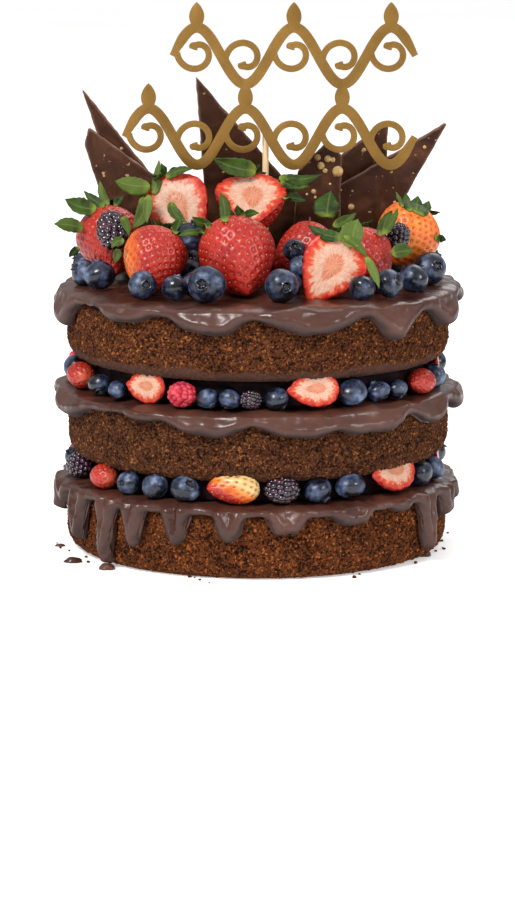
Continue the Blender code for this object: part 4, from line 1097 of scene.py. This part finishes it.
def rib_over(fruit, foot, tip, bow):
    """The leaf's rib from foot to tip, bowed to its left and laid over the fruit that it meets."""
    flow = Vector((tip[0] - foot[0], tip[1] - foot[1])).normalized()
    pixels, depths = [], []
    for i in range(RIB_STEPS + 1):
        t = i / RIB_STEPS
        swing = bow * math.sin(math.pi * t)
        px = foot[0] + (tip[0] - foot[0]) * t + flow.y * swing
        py = foot[1] + (tip[1] - foot[1]) * t - flow.x * swing
        y = (foot[2] + (tip[2] - foot[2]) * t) * MM
        start, sight = sight_at(px, py)
        met = fruit.ray_cast(start, sight)[0]
        if met and y - LEAF_REACH < met.y - LEAF_ABOVE < y:
            y = met.y - LEAF_ABOVE
        pixels.append((px, py))
        depths.append(y)
    for _ in range(RIB_SMOOTHINGS):
        before, after = depths[:1] + depths, depths[1:] + depths[-1:]
        depths = [min(y, (a + y + b) / 3) for a, y, b in zip(before, depths, after)]
    return [seen_at(px, py, y) for (px, py), y in zip(pixels, depths)]


def laid_leaf(rib, width, pale, seed):
    """A leaf with this rib. Its blade is folded along the rib and wavy, and faces the camera."""
    rng = random.Random(seed)
    wave, fold = rng.uniform(0, 6), rng.choice(LEAF_FOLDS)
    piece = sheet_of(RIB_STEPS)
    tilt = Vector((rng.uniform(-0.35, 0.35), 0, rng.uniform(0.0, 0.5)))
    moved = []
    for vertex in piece.data.vertices:
        s, side = vertex.co.x + 0.5, 2 * vertex.co.y
        i = round(RIB_STEPS * s)
        along = (rib[min(i + 1, RIB_STEPS)] - rib[max(i - 1, 0)]).normalized()
        towards = ((Vector(CAMERA_PLACE) - rib[i]).normalized() + tilt).normalized()
        across = along.cross(towards).normalized()
        lifted = across.cross(along)
        half = 0.5 * width * (0.16 + 0.84 * math.sin(math.pi * s**0.75) ** 0.7) * (1 - s**8)
        half *= 1 + 0.045 * math.sin(34 * s + wave + side) + 0.14 * side * math.sin(wave + 3 * s)
        height = fold * half * side * side + 0.07 * width * math.sin(8 * s + wave) * side * side
        ruffle = 0.05 * width * math.sin(19 * s + 2 * wave + side) * side * (1 - s)
        moved.append(rib[i] + across * half * side + lifted * (height + ruffle))
    move_to(piece, moved)
    close_up(piece)
    mark(piece, "pale", [pale] * len(piece.data.vertices))
    return thickened(piece, 0.5 * MM)


# A small blueberry shows between the leaves too.
TUCKED_AT, TUCKED_DEPTH, TUCKED_RADIUS = (191, 236), -37 * MM, 7.4 * MM  # in pixels, and its y
tucked_spot = Matrix.Translation(seen_at(*TUCKED_AT, TUCKED_DEPTH)) @ turn_to(way(60, 70))
tucked_berry = blueberry("berry_tucked", tucked_spot @ Matrix.Scale(TUCKED_RADIUS, 4), 50)
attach(tucked_berry, "root")
laid_on = tree_of([p for p in bpy.data.objects if p.name.startswith(("fruit_", "berry_", "cluster_"))])
blades = []
for seed, (foot, tip, width, pale, bow) in enumerate(LEAVES):
    blades.append(laid_leaf(rib_over(laid_on, foot, tip, bow), width * MM, pale, seed))
leaves = joined(blades, "laid_leaves")
bpy.ops.object.shade_smooth()
leaves.data.materials.append(leaf_look)
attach(leaves, "root")

# The fillings.
# A layer of mixed berries between the tiers. The ones at the rim show: whole blueberries, halved
# strawberries with the cut face out, brambles and raspberries. Behind them a block of nearly black painted
# shade also stands for the dark berries there.
FILLING_RADIUS, CORE_RADIUS, CORE_GRIP = 90.5 * MM, 86.5 * MM, 2.4 * MM
CLEAR = 0.35 * MM  # what touches in the real cake stands this far apart
# the dark core: columns and rows of points, its radius, and how uneven its side is
SHADED_CORE_COLUMNS, SHADED_CORE_ROWS, SHADED_CORE_RADIUS, SHADED_CORE_UNEVENNESS = 240, 8, 83.5 * MM, 1.2 * MM
SHADED_CORE_RINGS = (0, 40 * MM, 70 * MM)  # of points across its top and its underside
# kind of berry, azimuth and size, 1 being the usual one
LOWER_RING = (
    ("bramble", -76, 1.0), ("strawberry", -57, 0.95), ("blueberry", -43.5, 0.92), ("blueberry", -33, 0.98),
    ("blueberry", -22.5, 1.05), ("unripe", -8, 1.0), ("bramble", 7.5, 1.05), ("blueberry", 18.5, 1.02),
    ("blueberry", 29.5, 1.08), ("half", 46.5, 1.22), ("blueberry", 62, 1.0),
)
UPPER_RING = (
    ("strawberry", -74, 1.0), ("blueberry", -59, 0.85), ("blueberry", -50, 0.7), ("half", -37, 0.95),
    ("raspberry", -23.5, 0.95), ("blueberry", -15.5, 0.8), ("blueberry", -8.5, 0.8), ("bramble", -2, 0.7),
    ("blueberry", 5.5, 0.9), ("half", 17, 1.05), ("blueberry", 30, 1.08), ("blueberry", 40.5, 0.85),
    ("blueberry", 49, 0.8), ("strawberry", 61, 0.95),
)
RING_MIX = ("blueberry", "half", "blueberry", "bramble", "blueberry", "strawberry", "blueberry", "raspberry")
RING_PITCH = {"blueberry": 10.4, "strawberry": 15.0, "half": 17.5, "bramble": 12.5, "raspberry": 11.5}
RING_SIZES = {  # half width along the rim, half height and half depth, in mm
    "blueberry": (7.0, 6.2, 6.6), "strawberry": (10.5, 6.6, 7.2), "half": (12.8, 9.0, 5.6),
    "bramble": (8.4, 6.6, 7.2), "raspberry": (7.6, 6.6, 7.0), "unripe": (14.0, 8.0, 7.6),
}
ALONG_RIM = Matrix.Rotation(math.radians(90), 4, "Y")
TIP_OUT = Euler((math.radians(20), 0, math.radians(40))).to_matrix().to_4x4() @ ALONG_RIM
RING_TURNS = {"half": ALONG_RIM, "strawberry": ALONG_RIM, "unripe": TIP_OUT}
HALF_ROLLS = (-0.45, -0.1)  # how far a half's cut face looks down, in radians


def pale_shoulder(p):
    """How unripe the pale fruit is at a point: cream at its shoulder and on top, red at its tip and below."""
    return min(1, max(0, 0.6 + 40 * p.z - 62 * p.x))


def ring_of(front):
    """The berries round a filling: the front ones as listed, then RING_MIX round the back."""
    ring = list(front)
    last, azimuth, _ = front[-1]
    for i in range(360):
        kind = RING_MIX[i % len(RING_MIX)]
        azimuth += 0.5 * (RING_PITCH[last] + RING_PITCH[kind])
        if azimuth > front[0][1] + 360 - 0.5 * (RING_PITCH[kind] + RING_PITCH[front[0][0]]):
            break
        ring.append((kind, azimuth, 1.0))
        last = kind
    return ring


# Painted shade: the core is nearly black, standing for the shade behind the ring and the dark berries in it.
dark_look = look("shaded_filling_core", 0.7, Specular_IOR_Level=0.1)
here = place_of(dark_look)
core_shade = ramp(dark_look, noise_of(dark_look, here, 120), [(0.4, tint(12, 8, 12)), (0.65, tint(34, 14, 18))])
wear(dark_look, core_shade, bump=noise_of(dark_look, here, 200), strength=0.8, distance=1.5 * MM)


def dark_core(name, low, high):
    """What shows behind the berries: a low round block with an uneven side, coloured as painted shade."""
    columns = []
    for i in range(SHADED_CORE_COLUMNS):
        out = way(360 * i / SHADED_CORE_COLUMNS)
        profile = [(x, low) for x in SHADED_CORE_RINGS]
        for j in range(SHADED_CORE_ROWS + 1):
            wavy = SHADED_CORE_RADIUS + SHADED_CORE_UNEVENNESS * math.sin(i * 0.9 + j) * math.sin(i * 0.37)
            profile.append((wavy, low + (high - low) * j / SHADED_CORE_ROWS))
        profile += [(x, high) for x in SHADED_CORE_RINGS[::-1]]
        columns.append([(out.x * x, out.y * x, z) for x, z in profile])
    core = wrapped(name, columns)
    core.data.materials.append(dark_look)
    return core


def filling(word, tier, front):
    """The dark core and the ring of berries round it, one piece for each kind of berry."""
    low = SPONGE_LEVELS[tier][1] + GANACHE_GAP + GANACHE_THICKNESS + CLEAR
    rng = random.Random(tier + 11)
    core = dark_core(f"juice_{word}", low, SPONGE_LEVELS[tier + 1][0] - CLEAR)
    kinds = {}
    for seed, (kind, azimuth, size) in enumerate(ring_of(front)):
        wide, tall, deep = (size * half * MM for half in RING_SIZES[kind])
        reach = min(FILLING_RADIUS, CORE_RADIUS - CORE_GRIP + deep)
        spot = Matrix.Translation(way(azimuth) * reach + Vector((0, 0, low + tall)))
        spot = spot @ Matrix.Rotation(math.radians(azimuth), 4, "Z") @ Matrix.Diagonal((wide, deep, tall, 1))
        tumble = turn_to(way(rng.uniform(-180, 180), rng.uniform(-60, 60)))
        if kind == "blueberry":
            berry = blueberry("ring_berry", spot @ tumble, seed)
        elif kind in ("bramble", "raspberry"):
            berry = copy_of(dark_cluster if kind == "bramble" else red_cluster, "ring_cluster")
            berry.data.transform(spot @ tumble)
        else:
            unit = Matrix.Diagonal((2 / MODEL_WIDTH, 2 / MODEL_WIDTH, 2 / MODEL_LENGTH, 1))
            ripeness = pale_shoulder if kind == "unripe" else None
            roll = Matrix.Rotation(rng.uniform(*HALF_ROLLS) if kind == "half" else 0.0, 4, "Z")
            placed = spot @ RING_TURNS[kind] @ roll @ unit
            berry = strawberry("ring_fruit", RING_MODELS, kind == "half", placed, seed + 60, ripeness)
        kinds.setdefault("strawberry" if kind in ("half", "unripe") else kind, []).append(berry)
    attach(core, "root")
    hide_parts(f"filling_{word}")
    for kind, berries in kinds.items():
        group = joined(berries, f"{kind}_ring_{word}")
        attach(group, "root")


filling("lower", 0, LOWER_RING)
filling("upper", 1, UPPER_RING)
for model in (*TOP_MODELS, *RING_MODELS, round_berry, dark_cluster, red_cluster):
    bpy.data.objects.remove(model)

# The chocolate shards.
# A thin sheet of dark chocolate, broken by hand into tall pointed pieces that are pushed upright
# into the ganache behind the berries. Some carry gold sugar pearls and pale scratches.
SHARD_GRAIN = 1.1 * MM
BROKEN_GRAIN, BROKEN_HEIGHT = 5 * MM, 0.9 * MM
EDGE_FROM, EDGE_FADE = 0.9, 3  # a face that looks less to the front than this is part of the broken edge
chocolate_look = look("dark_chocolate", 0.5, Specular_IOR_Level=0.15)
here = place_of(chocolate_look)
smears = noise_of(chocolate_look, here, 60, 5, 0.65, 0.8)
specks = noise_of(chocolate_look, here, 330, 2)
brown_stops = [(0.3, tint(42, 21, 11)), (0.5, tint(60, 33, 19)), (0.72, tint(84, 50, 31))]
brown = ramp(chocolate_look, smears, brown_stops)
scratches = ramp(chocolate_look, specks, [(0.69, 0.0), (0.74, 0.8)])
brown = mixed(chocolate_look, scratches, brown, tint(172, 136, 100))
edges = math_of(chocolate_look, "MULTIPLY", attribute(chocolate_look, "edge"), 0.7)
brown = mixed(chocolate_look, edges, brown, tint(128, 92, 74))
satin = ramp(chocolate_look, smears, [(0.3, 0.38), (0.7, 0.6)])
wear(chocolate_look, brown, satin, noise_of(chocolate_look, here, 160, 4), 0.3, 0.5 * MM)
for node_name, solid in frame["nodes"].items():
    if not node_name.startswith("shard"):
        continue
    broken = copy_of(solid, node_name.replace("shard", "broken"))
    broken.parent = None
    close_up(broken)
    remesh = broken.modifiers.new("grain", "REMESH")
    remesh.mode = "VOXEL"
    remesh.voxel_size = SHARD_GRAIN
    bpy.ops.object.modifier_apply(modifier=remesh.name)
    mark(broken, "edge", np.clip((EDGE_FROM - np.abs(normals_of(broken)[:, 1])) * EDGE_FADE, 0, 1))
    roughen(broken, "BLENDER_ORIGINAL", BROKEN_GRAIN, BROKEN_HEIGHT)
    alone(broken)
    bpy.ops.object.shade_smooth()
    broken.data.materials.clear()
    broken.data.materials.append(chocolate_look)
    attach(broken, "root")
    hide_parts(node_name)

# The sugar pearls.
# Small matte gold balls and flakes, pressed into the shards while the chocolate was soft.
# where the photograph shows each one, in its pixels, and its diameter in mm
PEARLS = (
    (317.6, 157.4, 3.2), (327.7, 158.7, 3.5), (332.8, 159.8, 2.6), (320.7, 165.7, 4.0), (325.0, 170.8, 2.6),
    (337.7, 171.5, 5.5), (313.6, 191.6, 2.6), (315.2, 197.3, 1.5), (351.1, 207.0, 3.4), (306.9, 194.2, 1.3),
    (223.3, 172.2, 1.4), (210.2, 148.9, 1.6), (121.5, 148.5, 1.8), (364.2, 149.6, 2.0), (424.5, 147.0, 1.8),
    (394.6, 202.3, 1.6), (310.0, 181.0, 1.2), (330.0, 184.0, 1.3), (341.0, 190.0, 1.2), (104.0, 176.0, 1.2),
)
PEARL_FLATNESS = 0.6
shards = tree_of([piece for piece in bpy.data.objects if piece.name.startswith("broken_")])
gold_balls = []
for px, py, diameter in PEARLS:
    start, sight = sight_at(px, py)
    spot, normal, _, _ = shards.ray_cast(start, sight)
    if spot is None:
        continue
    pearl = new_ball(3, 0.5 * diameter * MM)
    flattened = turn_to(normal) @ Matrix.Diagonal((1, 1, PEARL_FLATNESS, 1))
    pearl.data.transform(Matrix.Translation(spot) @ flattened)
    gold_balls.append(pearl)
pearl_look = look("sugar_pearl", 0.5, Specular_IOR_Level=0.4)
here = place_of(pearl_look)
beige_stops = [(0.35, tint(150, 116, 66)), (0.65, tint(190, 158, 106))]
wear(pearl_look, ramp(pearl_look, noise_of(pearl_look, here, 500, 3), beige_stops))
pearls = joined(gold_balls, "pearls")
bpy.ops.object.shade_smooth()
pearls.data.materials.append(pearl_look)
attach(pearls, "root")

# The topper's stick.
# A plain birch skewer, sanded round, that holds the card and goes down into the cake.
stick = frame["nodes"]["topper_stick"]
wood_look = look("birch", 0.6)
here = place_of(wood_look)
stretched = node(wood_look, "Mapping", {"Vector": here, "Scale": (1.0, 1.0, 0.06)}).outputs[0]
grain = noise_of(wood_look, stretched, 1500, 3)
birch = ramp(wood_look, grain, [(0.35, tint(206, 172, 124)), (0.65, tint(228, 200, 158))])
wear(wood_look, birch, bump=grain, strength=0.2, distance=0.1 * MM)
for slot in stick.material_slots:
    slot.material = wood_look

# The topper's card.
# Stiff card with a dull gold face, laser cut as two rows of vine scrolls with curls and leaves, and
# glued to the front of the stick.
STICK_Y, STICK_RADIUS = 13 * MM, 1.6 * MM
CARD_X, CARD_LOW, CARD_THICKNESS = 8.0 * MM, 179 * MM, 1.6 * MM
VINE_WIDTH, CURL_WIDTH = 5.2 * MM, 3.2 * MM
VINE_SWING, VINE_STRETCH = 14 * MM, 24 * MM
VINE_ROWS = ((-74 * MM, 24 * MM, 6), (-50 * MM, 64 * MM, 5))  # left end, middle over CARD_LOW, half waves
VINE_STEPS, CURL_STEPS = 20, 40
HOLLOW = 12.5 * MM  # from a bend's crest to the middle of its curl
CURL_RADIUS, CURL_START, CURL_TURN, CURL_TIGHTENING = 9.8 * MM, 180, 320, 0.72
BUD_SHARE, BUD_SWELL = 0.14, 0.55  # of a curl's length and width
STEM_END, STEM_TAPER = 0.6, 0.1  # share of the width at the ends, and what each step adds
CARD_LEAF_LENGTH, CARD_LEAF_WIDTH, CARD_LEAF_STEPS = 12.5 * MM, 7.5 * MM, 12
CARD_FLAT_ANGLE, CARD_BEVEL = 0.002, 0.22 * MM


def stroke(points, widths):
    """The outline of a stroke that follows the points, as wide as given at each."""
    left, right = [], []
    for i, p in enumerate(points):
        ahead = points[min(i + 1, len(points) - 1)] - points[max(i - 1, 0)]
        side = Vector((-ahead.y, ahead.x)).normalized() * 0.5 * widths[i]
        left.append(p + side)
        right.append(p - side)
    return right + left[::-1]


def scroll(middle, crest):
    """A curl in the hollow of a bend, which thickens to a bud at its inner end."""
    points, widths = [], []
    for i in range(CURL_STEPS + 1):
        share = i / CURL_STEPS
        angle = math.radians(CURL_START + CURL_TURN * share)
        radius = CURL_RADIUS * (1 - CURL_TIGHTENING * share)
        points.append(middle + radius * Vector((math.cos(angle), crest * math.sin(angle))))
        bud = max(0.0, (share - (1 - BUD_SHARE)) / BUD_SHARE)
        widths.append(CURL_WIDTH * (1 + BUD_SWELL * math.sin(math.pi * min(1, bud))))
    return stroke(points, widths)


def card_leaf(start):
    """A small upright leaf of the vine."""
    shares = [i / CARD_LEAF_STEPS for i in range(CARD_LEAF_STEPS + 1)]
    side = [(s, math.sin(math.pi * (0.12 + 0.88 * s)) ** 0.8) for s in shares]
    right = [start + Vector((0.5 * CARD_LEAF_WIDTH * w, CARD_LEAF_LENGTH * s)) for s, w in side]
    left = [start + Vector((-0.5 * CARD_LEAF_WIDTH * w, CARD_LEAF_LENGTH * s)) for s, w in side[-2::-1]]
    return right + left


def vine(row):
    """The outlines of a row: the waving stem, and a curl and a leaf at its bends."""
    left, level, waves = row

    def at(u):
        return Vector((u, level + VINE_SWING * math.sin(math.pi * (u - left) / VINE_STRETCH)))

    count = VINE_STEPS * waves
    stem = [at(left + VINE_STRETCH * i / VINE_STEPS) for i in range(count + 1)]
    widths = [VINE_WIDTH * min(1, STEM_END + STEM_TAPER * min(i, count - i)) for i in range(count + 1)]
    outlines = [stroke(stem, widths)]
    for k in range(waves):
        crest = 1 if k % 2 == 0 else -1
        middle = Vector((left + VINE_STRETCH * (k + 0.5), level + crest * (VINE_SWING - HOLLOW)))
        outlines.append(scroll(middle, crest))
        if crest > 0:
            outlines.append(card_leaf(at(middle.x)))
    return outlines


points, faces = [], []
for outline in [outline for row in VINE_ROWS for outline in vine(row)]:
    faces.append(list(range(len(points), len(points) + len(outline))))
    points += outline
flat = geometry.delaunay_2d_cdt(points, [], faces, 0, DOUBLED)
inside = [list(face) for face, sources in zip(flat[2], flat[5]) if sources]
card_mesh = bpy.data.meshes.new("scroll_card")
card_back = STICK_Y - STICK_RADIUS - CLEAR
card_mesh.from_pydata([(p.x + CARD_X, card_back, p.y + CARD_LOW) for p in flat[0]], [], inside)
card = bpy.data.objects.new("scroll_card", card_mesh)
bpy.context.scene.collection.objects.link(card)
alone(card)
bpy.ops.object.mode_set(mode="EDIT")
bpy.ops.mesh.select_all(action="SELECT")
bpy.ops.mesh.delete_loose()
bpy.ops.mesh.select_all(action="SELECT")
bpy.ops.mesh.dissolve_limited(angle_limit=CARD_FLAT_ANGLE)
bpy.ops.mesh.select_all(action="SELECT")
bpy.ops.mesh.extrude_region_move(TRANSFORM_OT_translate={"value": (0, -CARD_THICKNESS, 0)})
bpy.ops.mesh.select_all(action="SELECT")
bpy.ops.mesh.normals_make_consistent(inside=False)
bpy.ops.object.mode_set(mode="OBJECT")
edge = card.modifiers.new("edge", "BEVEL")
edge.width = CARD_BEVEL
edge.segments = 2
edge.limit_method = "ANGLE"
edge.angle_limit = math.radians(60)
bpy.ops.object.modifier_apply(modifier=edge.name)
bpy.ops.object.shade_smooth_by_angle(angle=math.radians(35))
gold_look = look("gold_card", 0.45, Metallic=0.35, Specular_IOR_Level=0.3)
here = place_of(gold_look)
gold = ramp(gold_look, noise_of(gold_look, here, 60, 4), [(0.3, tint(112, 82, 30)), (0.7, tint(132, 98, 42))])
wear(gold_look, gold, bump=noise_of(gold_look, here, 1200, 2), strength=0.1, distance=0.1 * MM)
card.data.materials.append(gold_look)
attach(card, "root")
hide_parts("topper_card")

# The crumbs and drops round the foot.
# Crumbs that fell from the lowest sponge, and drops of ganache that ran off beside its foot.
# where the photograph shows each drop, in its pixels, and its half length, half width and height in mm
DROPS = (
    (60, 546, 2.8, 1.6, 1.2), (73, 562, 4.6, 2.8, 2.4), (107, 569, 4.0, 3.4, 3.0), (424, 556, 3.6, 2.4, 3.4),
)
DROP_LUMPS, DROP_CLOSENESS, DROP_SHIFT = 0.15, 1.5, 90
CRUMBS, CRUMB_LUMPS, CRUMB_CLOSENESS, CRUMB_SHIFT = 46, 0.5, 1.6, 30
CRUMB_SIZES, CRUMB_PLACES = (0.3, 0.9), (90, 101)  # half length, and distance from the middle, in mm
rng = random.Random(8)
drops, crumbs = [], []
for px, py, half_length, half_width, tall in DROPS:
    start, sight = sight_at(px, py)
    spot = start + sight * (-start.z / sight.z)
    drop = new_ball(4)
    domed = []
    for p in [Vector(p) for p in places(drop).astype(float)]:
        lump = DROP_LUMPS * noise.noise_vector(p * DROP_CLOSENESS + spot * DROP_SHIFT)
        domed.append((p.x + lump.x, p.y + lump.y, max(max(p.z, 0) + lump.z, 0)))
    move_to(drop, domed)
    sizing = Matrix.Diagonal((half_length * MM, half_width * MM, tall * MM, 1))
    drop.data.transform(Matrix.Translation(spot) @ sizing)
    drops.append(drop)
spilled = joined(drops, "ganache_drops")
close_up(spilled)
bpy.ops.object.shade_smooth()
spilled.data.materials.append(ganache_look)
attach(spilled, "root")
for _ in range(CRUMBS):
    crumb = new_ball(2)
    shift = Vector((rng.random(), rng.random(), rng.random())) * CRUMB_SHIFT
    vary(crumb, CRUMB_LUMPS, CRUMB_CLOSENESS, shift)
    size = rng.uniform(*CRUMB_SIZES) * MM
    spot = way(rng.uniform(-180, 180)) * rng.uniform(*CRUMB_PLACES) * MM + Vector((0, 0, 0.8 * size))
    crumb.data.transform(Matrix.Translation(spot) @ Matrix.Diagonal((size * 1.2, size, 0.8 * size, 1)))
    crumbs.append(crumb)
fallen = joined(crumbs, "fallen_crumbs")
bpy.ops.object.shade_smooth()
fallen_look = look("fallen_crumb", 0.9, Specular_IOR_Level=0.1)
fallen_grain = noise_of(fallen_look, place_of(fallen_look), 900, 3)
wear(fallen_look, ramp(fallen_look, fallen_grain, [(0.4, tint(40, 20, 11)), (0.65, tint(110, 62, 30))]))
fallen.data.materials.append(fallen_look)
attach(fallen, "root")
